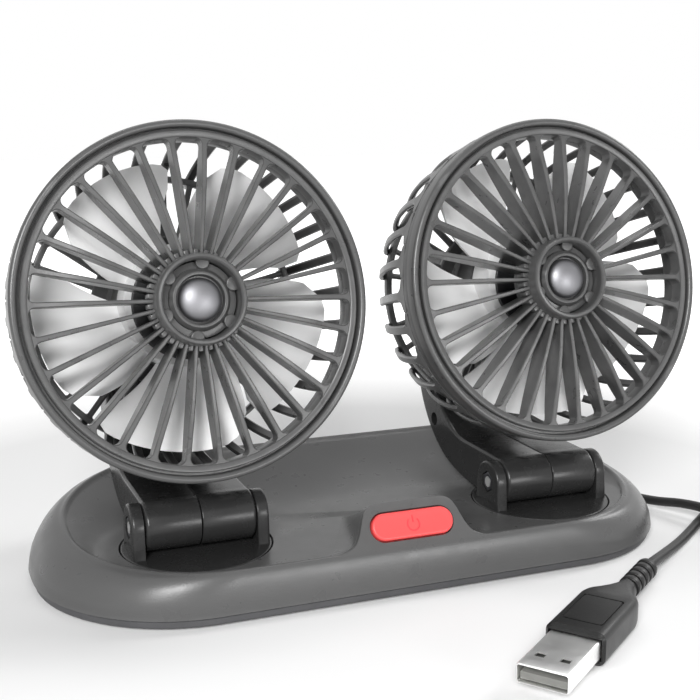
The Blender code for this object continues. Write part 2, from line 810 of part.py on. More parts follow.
def make_button():
    """The button, its switch and the board, all square to the block's face."""
    face = empty("button_face", block_frame().to_translation(), (math.radians(BLOCK_SLOPE), 0, 0))
    seat = -BLOCK_WALL - GAP
    cap = stadium(BUTTON_LENGTH, BUTTON_WIDTH, seat - SINK, BUTTON_PROUD - BUTTON_ROUND, "power_button")
    crown_length = BUTTON_LENGTH - 2 * BUTTON_ROUND
    crown_width = BUTTON_WIDTH - 2 * BUTTON_ROUND
    crown = stadium(crown_length, crown_width, -BUTTON_ROUND, BUTTON_PROUD, "button_crown")
    flange_grown = 2 * BUTTON_FLANGE
    flange = stadium(
        BUTTON_LENGTH + flange_grown, BUTTON_WIDTH + flange_grown, seat - BUTTON_FLANGE_HEIGHT, seat,
        "button_flange",
    )
    plunger_top = -BOARD_DEPTH + SWITCH_HEIGHT + PLUNGER_HEIGHT
    stem = cylinder(STEM_RADIUS, plunger_top + BUTTON_TRAVEL + GAP, seat - SINK, "button_stem", SCREW_SIDES)
    place(joined(cap, crown, flange, stem), "power_button", button_red, face)
    half = SWITCH_SIDE / 2
    body = box((-half, -half, -BOARD_DEPTH), (half, half, -BOARD_DEPTH + SWITCH_HEIGHT), "button_switch")
    plunger = cylinder(PLUNGER_RADIUS, -BOARD_DEPTH + SINK, plunger_top, "plunger", SCREW_SIDES)
    place(joined(body, plunger), "button_switch", cover_plastic, face)
    front = -BOARD_DEPTH - GAP
    board = box(
        (-BOARD_HALF_LENGTH, -BOARD_HALF_WIDTH, front - BOARD_THICKNESS),
        (BOARD_HALF_LENGTH, BOARD_HALF_WIDTH, front),
        "circuit_board",
    )
    place(board, "circuit_board", board_green, face)


# Turntables and hinges


def ear_outline():
    """The side outline of an ear: straight up from the disc and round over the hinge."""
    y = HINGE_Y - TURN_Y
    z = HINGE_Z - FLOOR_Z
    outline = [(y - EAR_HALF_WIDTH, -SINK), (y + EAR_HALF_WIDTH, -SINK)]
    for k in range(EAR_ARC_STEPS + 1):
        angle = math.pi * k / EAR_ARC_STEPS
        outline.append((y + EAR_HALF_WIDTH * math.cos(angle), z + EAR_HALF_WIDTH * math.sin(angle)))
    return outline


def hinge_on_disc():
    return Matrix.Translation((0, HINGE_Y - TURN_Y, HINGE_Z - FLOOR_Z))


def ear_outside():
    return BARREL_LENGTH / 2 + GAP + EAR_THICKNESS


def turntable_mesh():
    web = ROOF_Z - FLOOR_Z
    profile = (
        (0, 0), (DISC_RADIUS, 0), (DISC_RADIUS, -DISC_THICKNESS), (STEM_HUB_RADIUS, -DISC_THICKNESS),
        (STEM_HUB_RADIUS, web), (NECK_RADIUS, web), (NECK_RADIUS, web - NECK_LENGTH), (0, web - NECK_LENGTH),
    )
    disc = turned(profile, DISC_STEPS, "turntable")
    ears = []
    for side in (-1, 1):
        ear = moved(extruded(ear_outline(), EAR_THICKNESS / 2, "ear"), SIDEWAYS)
        ears.append(moved(ear, Matrix.Translation((side * (ear_outside() - EAR_THICKNESS / 2), 0, 0))))
    outside = ear_outside()
    nut_seat = outside - SCREW_SUNK - NUT_THICKNESS - GAP
    head_seat = outside - SCREW_SUNK - PIN_HEAD_HEIGHT - GAP
    bore = cylinder(PIN_RADIUS + GAP, -outside - OVERRUN, outside + OVERRUN, "pin_bore", BORE_SIDES)
    nut_room = cylinder(NUT_RADIUS + GAP, -outside - OVERRUN, -nut_seat, "nut_recess", 6)
    head_room = cylinder(PIN_HEAD_RADIUS + GAP, head_seat, outside + OVERRUN, "head_recess", BORE_SIDES)
    holes = [moved(hole, hinge_on_disc() @ TO_X) for hole in (bore, nut_room, head_room)]
    return cut(joined(disc, *ears), *holes)


def hinge_meshes():
    outside = ear_outside() - SCREW_SUNK
    neck = outside - PIN_HEAD_HEIGHT
    profile = (
        (0, outside), (PIN_HEAD_RADIUS, outside), (PIN_HEAD_RADIUS, neck), (PIN_RADIUS, neck),
        (PIN_RADIUS, -outside), (0, -outside),
    )
    pin = moved(turned(profile, BORE_SIDES, "hinge_pin"), TO_X)
    nut = cylinder(NUT_RADIUS, -outside, -outside + NUT_THICKNESS, "hinge_nut", 6)
    bore = cylinder(PIN_RADIUS + GAP, -outside - OVERRUN, OVERRUN, "nut_bore", BORE_SIDES)
    return pin, moved(cut(nut, bore), TO_X)


def clip_mesh():
    top = ROOF_Z - FLOOR_Z - GAP
    low = top - CLIP_THICKNESS
    bore = NECK_RADIUS + GAP
    profile = ((bore, top), (CLIP_RADIUS, top), (CLIP_RADIUS, low), (bore, low))
    return turned(profile, CLIP_STEPS, "turntable_clip", closed=True)


# Arm


def head_to_side(up, back):
    """A point of the head's frame, given as up its face and back from it, in the hinge's (Y, Z)."""
    tilt = math.radians(RING_TILT)
    y = RING_Y + up * math.sin(tilt) + back * math.cos(tilt) - HINGE_Y
    z = RING_Z + up * math.cos(tilt) - back * math.sin(tilt) - HINGE_Z
    return y, z


def arm_outline():
    """The arm's side outline about the hinge: barrel, gooseneck and the pad behind the head."""
    outline = []
    for k in range(BARREL_ARC_STEPS + 1):
        angle = math.radians(270 - 180 * k / BARREL_ARC_STEPS)
        outline.append((BARREL_RADIUS * math.cos(angle), BARREL_RADIUS * math.sin(angle)))
    outline += [(y * ARM_REACH, z * ARM_RISE) for y, z in ARM_TOP_SHARES]
    front = ARM_PAD_BACK + GAP
    rear = front + ARM_PAD_THICKNESS
    outline.append(head_to_side(-ARM_PAD_HALF, front))
    outline.append(head_to_side(ARM_PAD_HALF, front))
    outline.append(head_to_side(ARM_PAD_HALF + ARM_PAD_TOP, front + ARM_PAD_TOP))
    outline.append(head_to_side(ARM_PAD_HALF + ARM_PAD_TOP, rear - ARM_PAD_TOP))
    outline.append(head_to_side(ARM_PAD_HALF, rear))
    outline += [(y * ARM_REACH, z * ARM_RISE) for y, z in reversed(ARM_UNDER_SHARES)]
    return outline


def arm_screw_frame():
    place_x = -BARREL_LENGTH / 2 + ARM_SCREW_DEPTH
    turn = Matrix.Rotation(math.radians(-90), 4, "Y")
    return Matrix.Translation((place_x, ARM_SCREW_BACK, ARM_SCREW_UP)) @ turn


def arm_screw_length():
    return BARREL_LENGTH / 2 - ARM_SCREW_DEPTH - ARM_SCREW_HEAD_HEIGHT + ARM_SCREW_REACH


def head_frame():
    """The head's frame in the hinge's: +Z out of the front, +Y up the face."""
    y, z = head_to_side(0, 0)
    return Matrix.Translation((0, y, z)) @ Matrix.Rotation(math.radians(90 - RING_TILT), 4, "X")


def bracket_screw_frame(side):
    back = ARM_PAD_BACK + GAP + ARM_PAD_THICKNESS - SCREW_SUNK
    return head_frame() @ Matrix.Translation((side * BRACKET_SCREW_PLACE, 0, -back)) @ UPSIDE_DOWN


def bracket_screw_length():
    return GAP + ARM_PAD_THICKNESS - SCREW_SUNK - BRACKET_SCREW_HEAD_HEIGHT + BRACKET_SCREW_REACH


def arm_half(side):
    """One half of the arm. They meet in a seam down the middle."""
    half = (BARREL_LENGTH / 2 - ARM_SEAM / 2) / 2
    mesh = moved(extruded(arm_outline(), half, "arm_half"), SIDEWAYS)
    mesh = moved(mesh, Matrix.Translation((side * (half + ARM_SEAM / 2), 0, 0)))
    bore = moved(cylinder(PIN_RADIUS + GAP, -BARREL_LENGTH, BARREL_LENGTH, "arm_bore", BORE_SIDES), TO_X)
    across = screw_hole(
        ARM_SCREW_HEAD, ARM_SCREW_HEAD_HEIGHT, ARM_SCREW_RADIUS, arm_screw_length(),
        ARM_SCREW_DEPTH + OVERRUN, "across",
    )
    into = screw_hole(
        BRACKET_SCREW_HEAD, BRACKET_SCREW_HEAD_HEIGHT, BRACKET_SCREW_RADIUS, bracket_screw_length(),
        SCREW_SUNK + 2 * OVERRUN, "into",
    )
    return cut(mesh, bore, moved(across, arm_screw_frame()), moved(into, bracket_screw_frame(side)))


# Head: guard, cap and basket


def spun(angle, points):
    """Points given as (radius, sideways, height), turned about the fan's axis."""
    turn = Matrix.Rotation(angle, 3, "Z")
    return [turn @ Vector(point) for point in points]


def fin_angles():
    """The angles of the guard's fins, which the slats of the basket share: half a pitch off level."""
    return [2 * math.pi * (number + 0.5) / FIN_COUNT for number in range(FIN_COUNT)]


def guard_mesh():
    """The front ring, thirty deep fins that flare into it, and the collar of the hub."""
    ring = turned(
        (
            (GUARD_OPENING, GUARD_FRONT), (RING_RADIUS - GUARD_ROUND, GUARD_FRONT),
            (RING_RADIUS, GUARD_FRONT - GUARD_ROUND), (RING_RADIUS, -GUARD_BACK),
            (GUARD_OPENING, -GUARD_BACK),
        ),
        RING_STEPS, "guard", closed=True, half_step=True,
    )
    ledge = COLLAR_INNER - COLLAR_LEDGE
    collar = turned(
        (
            (COLLAR_INNER, TORUS_FRONT - TORUS_ROUND), (COLLAR_INNER + TORUS_ROUND, TORUS_FRONT),
            (COLLAR_OUTER, TORUS_FRONT - TORUS_ROUND), (COLLAR_OUTER, -COLLAR_BACK),
            (ledge, -COLLAR_BACK), (COLLAR_INNER, -CAP_BACK - GAP),
        ),
        COLLAR_STEPS, "collar", closed=True, half_step=True,
    )
    grille = bmesh.new()
    stations = (
        (COLLAR_OUTER - FIN_SEAT, FIN_ROOT_WIDTH, 0, -FIN_ROOT_BACK),
        (GUARD_OPENING - FIN_FLARE, FIN_NECK_WIDTH, FIN_FRONT, -FIN_NECK_BACK),
        (GUARD_OPENING + GUARD_ROUND, FIN_FLARE_WIDTH, FIN_FRONT, -FIN_SEAT_BACK),
    )
    for angle in fin_angles():
        rings = []
        for radius, width, front, back in stations:
            half = width / 2
            corners = ((half, front), (-half, front), (-half, back), (half, back))
            rings.append(spun(angle, [(radius, across, height) for across, height in corners]))
        add_skin(grille, rings)
    return joined(ring, collar, mesh_of(grille, "grille"))


def hub_cap_mesh():
    """The domed cap with its raised ring and six round bayonet tabs."""
    rim = COLLAR_INNER - GAP
    dome = []
    for k in range(DOME_STEPS + 1):
        angle = math.radians(90 - 70 * k / DOME_STEPS)
        height = CAP_GROOVE + (CAP_DOME_FRONT - CAP_GROOVE) * math.sin(angle)
        dome.append((CAP_DOME * math.cos(angle), height))
    profile = dome + [
        (CAP_DOME, CAP_GROOVE), (CAP_RING_INNER, CAP_GROOVE), (CAP_RING_INNER, CAP_RING_FRONT),
        (CAP_RING_OUTER, CAP_RING_FRONT), (CAP_RING_OUTER, CAP_FLOOR), (rim, CAP_FLOOR),
        (rim, -CAP_BACK), (0, -CAP_BACK),
    ]
    cap = turned(profile, CAP_STEPS, "hub_cap")
    tabs = []
    for number in range(TAB_COUNT):
        angle = math.radians(TAB_TURN + 360 * number / TAB_COUNT)
        tab = cylinder(TAB_RADIUS, -SINK, TAB_FRONT, "tab", TAB_SIDES)
        tabs.append(moved(tab, Matrix.Rotation(angle, 4, "Z") @ Matrix.Translation((TAB_PLACE, 0, 0))))
    return joined(cap, *tabs)


def bar_rings(path, width, thickness, angle):
    """Rings of a flat bar that follows a path of (radius, back) points in a plane through the axis."""
    rings = []
    for k, (radius, back) in enumerate(path):
        before = Vector(path[max(k - 1, 0)])
        after = Vector(path[min(k + 1, len(path) - 1)])
        along = (after - before).normalized()
        across_r, across_b = -along.y * thickness / 2, along.x * thickness / 2
        half = width / 2
        corners = (
            (radius + across_r, half, -back - across_b), (radius + across_r, -half, -back - across_b),
            (radius - across_r, -half, -back + across_b), (radius - across_r, half, -back + across_b),
        )
        rings.append(spun(angle, corners))
    return rings


def basket_mesh():
    """The cage behind the guard: band, slats, rear hoop, struts, the motor's cup and the bracket."""
    front = GUARD_BACK + GAP
    band = turned(
        ((BAND_INNER, -front), (BAND_OUTER, -front), (BAND_OUTER, -BAND_BACK), (BAND_INNER, -BAND_BACK)),
        RING_STEPS, "basket", closed=True, half_step=True,
    )
    half = HOOP_SIZE / 2
    hoop = turned(
        (
            (HOOP_RADIUS - half, half - HOOP_BACK), (HOOP_RADIUS + half, half - HOOP_BACK),
            (HOOP_RADIUS + half, -half - HOOP_BACK), (HOOP_RADIUS - half, -half - HOOP_BACK),
        ),
        FIN_COUNT, "hoop", closed=True, half_step=True,
    )
    slats = bmesh.new()
    path = [(BAND_OUTER - SLAT_SINK, BAND_BACK - SLAT_SINK), (HOOP_RADIUS, HOOP_BACK)]
    for angle in fin_angles():
        add_skin(slats, bar_rings(path, SLAT_WIDTH, SLAT_THICKNESS, angle))
    middle = PLATE_FRONT + PLATE_THICKNESS / 2
    struts = bmesh.new()
    for number in range(STRUT_COUNT):
        angle = math.radians(STRUT_TURN) + 2 * math.pi * number / STRUT_COUNT
        path = [(PLATE_RADIUS - OVERRUN, middle), (HOOP_RADIUS, HOOP_BACK)]
        add_skin(struts, bar_rings(path, STRUT_WIDTH, HOOP_SIZE - GAP, angle))
    back = PLATE_FRONT + PLATE_THICKNESS
    seat = MOTOR_RADIUS + GAP
    rim = PLATE_RIM - PLATE_FRONT
    profile = (
        (0, -PLATE_FRONT), (seat, -PLATE_FRONT), (seat, rim), (PLATE_RADIUS, rim),
        (PLATE_RADIUS, -back), (0, -back),
    )
    plate = turned(profile, PLATE_SIDES, "motor_plate")
    bracket = box(
        (-BRACKET_HALF_WIDTH, -BRACKET_HALF_HEIGHT, -ARM_PAD_BACK),
        (BRACKET_HALF_WIDTH, BRACKET_HALF_HEIGHT, -back + SINK),
        "bracket",
    )
    holes = []
    for side in (-1, 1):
        into = screw_hole(
            BRACKET_SCREW_HEAD, BRACKET_SCREW_HEAD_HEIGHT, BRACKET_SCREW_RADIUS, bracket_screw_length(),
            OVERRUN, "into",
        )
        holes.append(moved(into, head_frame().inverted() @ bracket_screw_frame(side)))
    bracket = bevelled(bracket, BRACKET_BEVEL)
    mesh = joined(band, mesh_of(slats, "slats"), hoop, mesh_of(struts, "struts"), plate, bracket)
    return cut(mesh, *holes)


# Motor, shaft and rotor


def motor_mesh():
    back = PLATE_FRONT - GAP
    profile = (
        (0, -MOTOR_FRONT), (MOTOR_RADIUS - MOTOR_ROUND, -MOTOR_FRONT),
        (MOTOR_RADIUS, -MOTOR_FRONT - MOTOR_ROUND), (MOTOR_RADIUS, -back), (0, -back),
    )
    motor = turned(profile, MOTOR_STEPS, "motor")
    low = -MOTOR_FRONT - SHAFT_DEPTH - GAP
    bore = cylinder(SHAFT_RADIUS + GAP, low, -MOTOR_FRONT + OVERRUN, "shaft_bore", BORE_SIDES)
    return cut(motor, bore)


def blade_mesh(number):
    """One blade: a grid that twists like a propeller and rounds off at its tip, given a thickness."""
    shape = bmesh.new()
    middle = math.radians(BLADE_TURN + 360 * number / BLADE_COUNT)
    rows = []
    for radius_share, width_share in zip(BLADE_RADIUS_SHARES, BLADE_WIDTH_SHARES):
        radius = BLADE_ROOT + (BLADE_TIP - BLADE_ROOT) * radius_share
        row = []
        for chord in BLADE_CHORD_SHARES:
            angle = middle + math.radians(BLADE_HALF_ANGLE) * chord * width_share
            height = -BLADE_MIDDLE + BLADE_DEPTH * chord * width_share
            row.append(shape.verts.new((radius * math.cos(angle), radius * math.sin(angle), height)))
        rows.append(row)
    for inner, outer in zip(rows, rows[1:]):
        for k in range(len(inner) - 1):
            shape.faces.new((inner[k], outer[k], outer[k + 1], inner[k + 1]))
    mesh = bpy.data.meshes.new("blade")
    shape.to_mesh(mesh)
    shape.free()
    obj = on_bench(mesh, "blade")
    solid = obj.modifiers.new("thickness", "SOLIDIFY")
    solid.thickness = BLADE_THICKNESS
    solid.offset = 0
    return evaluated(obj, "blade")


def rotor_mesh():
    """The five blades on their cup, which runs over the motor."""
    inner = ROTOR_CUP - ROTOR_CUP_WALL
    web_back = ROTOR_FRONT + ROTOR_WEB
    bore = SHAFT_RADIUS + GAP
    cup = turned(
        (
            (bore, -ROTOR_FRONT), (ROTOR_CUP, -ROTOR_FRONT), (ROTOR_CUP, -ROTOR_CUP_BACK),
            (inner, -ROTOR_CUP_BACK), (inner, -web_back), (bore, -web_back),
        ),
        ROTOR_STEPS, "rotor", closed=True,
    )
    return joined(cup, *[blade_mesh(number) for number in range(BLADE_COUNT)])


def rotor_cap_mesh():
    back = ROTOR_FRONT - GAP
    round_off = (back - ROTOR_CAP_FRONT) / 2
    profile = (
        (0, -ROTOR_CAP_FRONT), (ROTOR_CAP_RADIUS - round_off, -ROTOR_CAP_FRONT),
        (ROTOR_CAP_RADIUS, -ROTOR_CAP_FRONT - round_off), (ROTOR_CAP_RADIUS, -back), (0, -back),
    )
    return turned(profile, ROTOR_STEPS, "rotor_cap")


def shaft_mesh():
    return cylinder(SHAFT_RADIUS, -MOTOR_FRONT - SHAFT_DEPTH, -ROTOR_FRONT, "shaft", BORE_SIDES)


def make_heads():
    """Both fans from the same meshes, each on the empties of its joints."""
    turntable = turntable_mesh()
    clip = clip_mesh()
    pin, nut = hinge_meshes()
    halves = {"left": arm_half(-1), "right": arm_half(1)}
    arm_screw = screw_shape(
        ARM_SCREW_HEAD, ARM_SCREW_HEAD_HEIGHT, ARM_SCREW_RADIUS, arm_screw_length(), "arm_screw"
    )
    bracket_screw = screw_shape(
        BRACKET_SCREW_HEAD, BRACKET_SCREW_HEAD_HEIGHT, BRACKET_SCREW_RADIUS, bracket_screw_length(),
        "bracket_screw",
    )
    guard = guard_mesh()
    hub_cap = hub_cap_mesh()
    basket = basket_mesh()
    motor = motor_mesh()
    rotor = rotor_mesh()
    rotor_cap = rotor_cap_mesh()
    shaft = shaft_mesh()
    for side, x in head_places():
        turn = empty(f"{side}_turn_axis", (x, TURN_Y, FLOOR_Z))
        place(turntable, f"{side}_turntable", dark_plastic, turn)
        place(clip, f"{side}_turntable_clip", cover_plastic, turn)
        hinge = empty(f"{side}_hinge_axis", hinge_on_disc().to_translation(), parent=turn)
        place(pin, f"{side}_hinge_pin", steel, hinge)
        place(nut, f"{side}_hinge_nut", dark_steel, hinge)
        for half, mesh in halves.items():
            place(mesh, f"{side}_arm_{half}_half", dark_plastic, hinge)
        frame = arm_screw_frame()
        place(arm_screw, f"{side}_arm_screw", dark_steel, hinge, frame.to_translation(), frame.to_euler())
        for number, place_side in enumerate((-1, 1), 1):
            frame = bracket_screw_frame(place_side)
            place(
                bracket_screw, f"{side}_bracket_screw_{number}", dark_steel, hinge,
                frame.to_translation(), frame.to_euler(),
            )
        frame = head_frame()
        head = empty(f"{side}_head_axis", frame.to_translation(), frame.to_euler(), hinge)
        place(guard, f"{side}_guard", guard_plastic, head)
        place(hub_cap, f"{side}_hub_cap", gloss_grey, head)
        place(basket, f"{side}_basket", guard_plastic, head)
        place(motor, f"{side}_motor", black_plastic, head)
        place(shaft, f"{side}_shaft", steel, head)
        place(rotor, f"{side}_rotor", blade_plastic, head)
        place(rotor_cap, f"{side}_rotor_cap", black_plastic, head)


# Cord, coil and plug


def smooth_path(points, step):
    """Points a step apart along a smooth curve through the given points."""
    dense = []
    ends = [2 * points[0] - points[1]] + points + [2 * points[-1] - points[-2]]
    for before, start, end, after in zip(ends, ends[1:], ends[2:], ends[3:]):
        for k in range(PATH_FINENESS):
            t = k / PATH_FINENESS
            pull = (end - before) * t + (2 * before - 5 * start + 4 * end - after) * t**2
            dense.append(start + (pull + (3 * start - before - 3 * end + after) * t**3) / 2)
    dense.append(points[-1])
    reach = [0]
    for start, end in zip(dense, dense[1:]):
        reach.append(reach[-1] + (end - start).length)
    count = round(reach[-1] / step)
    path = []
    k = 0
    for number in range(count):
        wanted = reach[-1] * number / count
        while reach[k + 1] < wanted:
            k += 1
        share = (wanted - reach[k]) / (reach[k + 1] - reach[k])
        path.append(dense[k].lerp(dense[k + 1], share))
    return path + [dense[-1]]


def with_straight_ends(path):
    """Keeps the first and last stretch of the path straight for one tube diameter."""
    start = path[0] + (path[1] - path[0]).normalized() * CORD_DIAMETER
    end = path[-1] + (path[-2] - path[-1]).normalized() * CORD_DIAMETER
    return [path[0], start] + path[2:-2] + [end, path[-1]]


def tube(path, sides, name):
    curve = bpy.data.curves.new(name, "CURVE")
    curve.dimensions = "3D"
    curve.bevel_depth = CORD_DIAMETER / 2
    curve.bevel_resolution = sides
    curve.use_fill_caps = True
    spline = curve.splines.new("POLY")
    spline.points.add(len(path) - 1)
    for point, place_at in zip(spline.points, path):
        point.co = (*place_at, 1)
    return place(evaluated(on_bench(curve, name), name), name, cord_plastic, sharp=50.0)


def coil_half_turn():
    """Half of the angle that the coil winds through, from its entry to its middle."""
    turns = COIL_TURNS + (COIL_EXIT - COIL_ENTRY) / 360
    return math.pi * turns


def coil_path():
    """Two layers: the upper one winds in, the cord climbs down at the middle and the lower one winds out."""
    half = coil_half_turn()
    inner = COIL_MIDDLE_RADIUS - COIL_PITCH * half / math.tau / 2
    count = round(2 * half / math.tau * COIL_POINTS)
    middle = CORD_LEVEL + COIL_PITCH / 2
    path = []
    for k in range(count + 1):
        turn = -half + 2 * half * k / count
        radius = inner + COIL_PITCH * abs(turn) / math.tau
        angle = math.radians(COIL_ENTRY) + half + turn
        height = middle - COIL_PITCH / 2 * math.sin(max(min(turn, math.pi / 2), -math.pi / 2))
        path.append(Vector((COIL_X + radius * math.cos(angle), COIL_Y + radius * math.sin(angle), height)))
    return [path[0] - coil_heading(path[0])] + path + [path[-1] + coil_heading(path[-1])]


def coil_heading(point):
    """One tube diameter along the way that the cord winds at this point."""
    out = Vector((point.x - COIL_X, point.y - COIL_Y, 0)).normalized()
    return Vector((-out.y, out.x, 0)) * CORD_DIAMETER


def least_gap(path):
    """The narrowest gap between stretches of a wound path that lie more than a third of a turn apart."""
    apart = COIL_POINTS // 3
    least = math.inf
    for k in range(len(path) - 1):
        for m in range(k + apart, len(path) - 1):
            if (path[k] - path[m]).length < 2 * COIL_PITCH + CORD_DIAMETER:
                for share in (0, 0.25, 0.5, 0.75):
                    spot = path[k].lerp(path[k + 1], share)
                    near, where = intersect_point_line(spot, path[m], path[m + 1])
                    near = path[m].lerp(path[m + 1], min(max(where, 0), 1))
                    least = min(least, (spot - near).length)
    return least - CORD_DIAMETER


def path_length(path):
    return sum((end - start).length for start, end in zip(path, path[1:]))


def plug_frame():
    turn = Matrix.Rotation(math.radians(PLUG_TURN), 4, "Z")
    return Matrix.Translation((PLUG_X, PLUG_Y, PLUG_Z)) @ turn


def plug_end():
    return PLUG_SHELL_LENGTH + PLUG_BODY_LENGTH + RIB_COUNT * RIB_PITCH


def make_cord():
    coil = coil_path()
    gap = GAP / CORD_DIAMETER
    start = Vector((GLAND_X, BASE_WIDTH / 2 + GLAND_LENGTH + 2 * GAP, GLAND_Z))
    lead_end = coil[0] - coil_heading(coil[1]) * gap
    lead_points = [start, start + Vector((0, CORD_DIAMETER, 0))]
    lead_points += [Vector(point) for point in LEAD_POINTS]
    lead_points += [lead_end - coil_heading(coil[1]) * 1.5, lead_end]
    lead = with_straight_ends(smooth_path(lead_points, CORD_STEP))
    away = coil_heading(coil[-2])
    tail_start = coil[-1] + away * gap
    tail_end = plug_frame() @ Vector((plug_end() + GAP, 0, 0))
    along = plug_frame().to_3x3() @ Vector((CORD_DIAMETER, 0, 0))
    half_way = tail_start.lerp(tail_end, 0.5)
    half_way.z = CORD_LEVEL
    tail_points = [tail_start, tail_start + away * 1.5, half_way, tail_end + along * 1.5, tail_end]
    tail = with_straight_ends(smooth_path(tail_points, CORD_STEP))
    tube(lead, CORD_SIDES, "cord_lead")
    tube(coil, COIL_SIDES, "cord_coil")
    tube(tail, CORD_SIDES, "cord_tail")
    print("coil's least gap to itself in mm:", round(least_gap(coil) * 1000, 3))
    lengths = [round(path_length(path) * 1000, 1) for path in (lead, coil, tail)]
    print("cord lengths in mm:", lengths, "together", round(sum(lengths), 1))


def plug_ring(x, half_width, half_height, corner):
    outline = rounded_outline(half_width, -half_height, half_height, corner, PLUG_CORNER_STEPS)
    return [(x, y, z) for y, z in outline]


def make_plug():
    rings = []
    for x, wide, high, corner in PLUG_RING_SHARES:
        half_width = wide * PLUG_HALF_WIDTH
        half_height = high * PLUG_HALF_HEIGHT
        at = PLUG_SHELL_LENGTH + x * PLUG_BODY_LENGTH
        rings.append(plug_ring(at, half_width, half_height, corner * PLUG_HALF_HEIGHT))
    for number in range(RIB_COUNT):
        low = PLUG_SHELL_LENGTH + PLUG_BODY_LENGTH + number * RIB_PITCH
        for x, radius in ((low + RIB_PITCH - RIB_LENGTH, RIB_NECK), (low + RIB_PITCH, RIB_RADIUS)):
            rings.append(plug_ring(x, radius, radius, radius))
    half_width = PLUG_SHELL_WIDTH / 2
    half_height = PLUG_SHELL_HEIGHT / 2
    seat = PLUG_SHELL_LENGTH + PLUG_SHELL_SEAT
    socket = box(
        (PLUG_SHELL_LENGTH - OVERRUN, -half_width - GAP, -half_height - GAP),
        (seat + GAP, half_width + GAP, half_height + GAP),
        "socket",
    )
    turn = (0, 0, math.radians(PLUG_TURN))
    where = plug_frame().to_translation()
    place(cut(loft(rings, "plug_body"), socket), "plug_body", plug_plastic, None, where, turn)
    shell = box((0, -half_width, -half_height), (seat, half_width, half_height), "plug_shell")
    inner_width = half_width - PLUG_SHELL_WALL
    inner_height = half_height - PLUG_SHELL_WALL
    deep = seat - PLUG_SHELL_WALL
    room = box((-OVERRUN, -inner_width, -inner_height), (deep, inner_width, inner_height), "room")
    half = PLUG_HOLE_SIDE / 2
    holes = []
    for y in (-PLUG_HOLE_Y, PLUG_HOLE_Y):
        low = (PLUG_HOLE_X - half, y - half, -half_height - SINK)
        holes.append(box(low, (PLUG_HOLE_X + half, y + half, half_height + SINK), "hole"))
    place(cut(shell, room, *holes), "plug_shell", steel, None, where, turn)
    tongue = box(
        (PLUG_TONGUE_INSET, -inner_width + GAP, -inner_height + GAP),
        (deep - GAP, inner_width - GAP, -inner_height + GAP + PLUG_TONGUE_THICKNESS),
        "plug_tongue",
    )
    place(tongue, "plug_tongue", black_plastic, None, where, turn)


clear_scene()
parts = new_collection(PARTS)
cutters = new_collection(CUTTERS)
cutters.hide_render = True
bench = new_collection(BENCH)

body_plastic = finish("body_plastic", (0.11, 0.11, 0.12), 0.38)
guard_plastic = finish("guard_plastic", (0.10, 0.10, 0.11), 0.40)
dark_plastic = finish("dark_plastic", (0.045, 0.045, 0.05), 0.45)
cover_plastic = finish("cover_plastic", (0.06, 0.06, 0.065), 0.55)
black_plastic = finish("black_plastic", (0.01, 0.01, 0.012), 0.40)
blade_plastic = finish("blade_plastic", (0.42, 0.42, 0.45), 0.45)
gloss_grey = finish("gloss_grey", (0.20, 0.19, 0.22), 0.12)
button_red = finish("button_red", (0.95, 0.10, 0.12), 0.35)
rubber = finish("rubber", (0.02, 0.02, 0.02), 0.80)
cord_plastic = finish("cord_plastic", (0.05, 0.05, 0.055), 0.50)
plug_plastic = finish("plug_plastic", (0.06, 0.06, 0.065), 0.45)
board_green = finish("board_green", (0.02, 0.16, 0.06), 0.40)
steel = finish("steel", (0.62, 0.62, 0.64), 0.28, 1.0)
dark_steel = finish("dark_steel", (0.10, 0.10, 0.11), 0.35, 1.0)

make_base_shell()
make_bottom_cover()
make_base_fittings()
make_button()
make_heads()
make_plug()
make_cord()
bpy.data.collections.remove(bench)
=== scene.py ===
"""Looks of the dual head car fan: every visible piece in fine detail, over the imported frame."""

import math

import bmesh
import bpy
from bpy.props import FloatProperty, FloatVectorProperty, IntProperty, PointerProperty
from mathutils import Matrix, Vector


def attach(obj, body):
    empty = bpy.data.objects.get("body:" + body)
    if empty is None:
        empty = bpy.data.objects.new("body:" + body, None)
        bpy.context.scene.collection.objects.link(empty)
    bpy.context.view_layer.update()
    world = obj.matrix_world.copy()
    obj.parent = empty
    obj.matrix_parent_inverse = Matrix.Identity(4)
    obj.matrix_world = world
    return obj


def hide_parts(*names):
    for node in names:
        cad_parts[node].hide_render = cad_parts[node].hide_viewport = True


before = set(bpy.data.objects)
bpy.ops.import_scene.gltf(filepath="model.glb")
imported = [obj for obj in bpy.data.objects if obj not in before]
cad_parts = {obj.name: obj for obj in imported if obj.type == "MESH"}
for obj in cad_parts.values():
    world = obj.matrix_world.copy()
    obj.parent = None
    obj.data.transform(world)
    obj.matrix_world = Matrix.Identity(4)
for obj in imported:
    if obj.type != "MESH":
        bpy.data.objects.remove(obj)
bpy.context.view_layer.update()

bl_info = {
    "name": "Dual head fan",
    "version": (1, 0, 0),
    "blender": (4, 5, 0),
    "location": "3D View > Sidebar > Fan",
    "description": "Builds the fan's guards, cages, blades, arms, base, cord and plug over its packed frame",
    "category": "Object",
}

SIDES = {"left": -0.0506, "right": 0.0506}
GAP = 0.0003

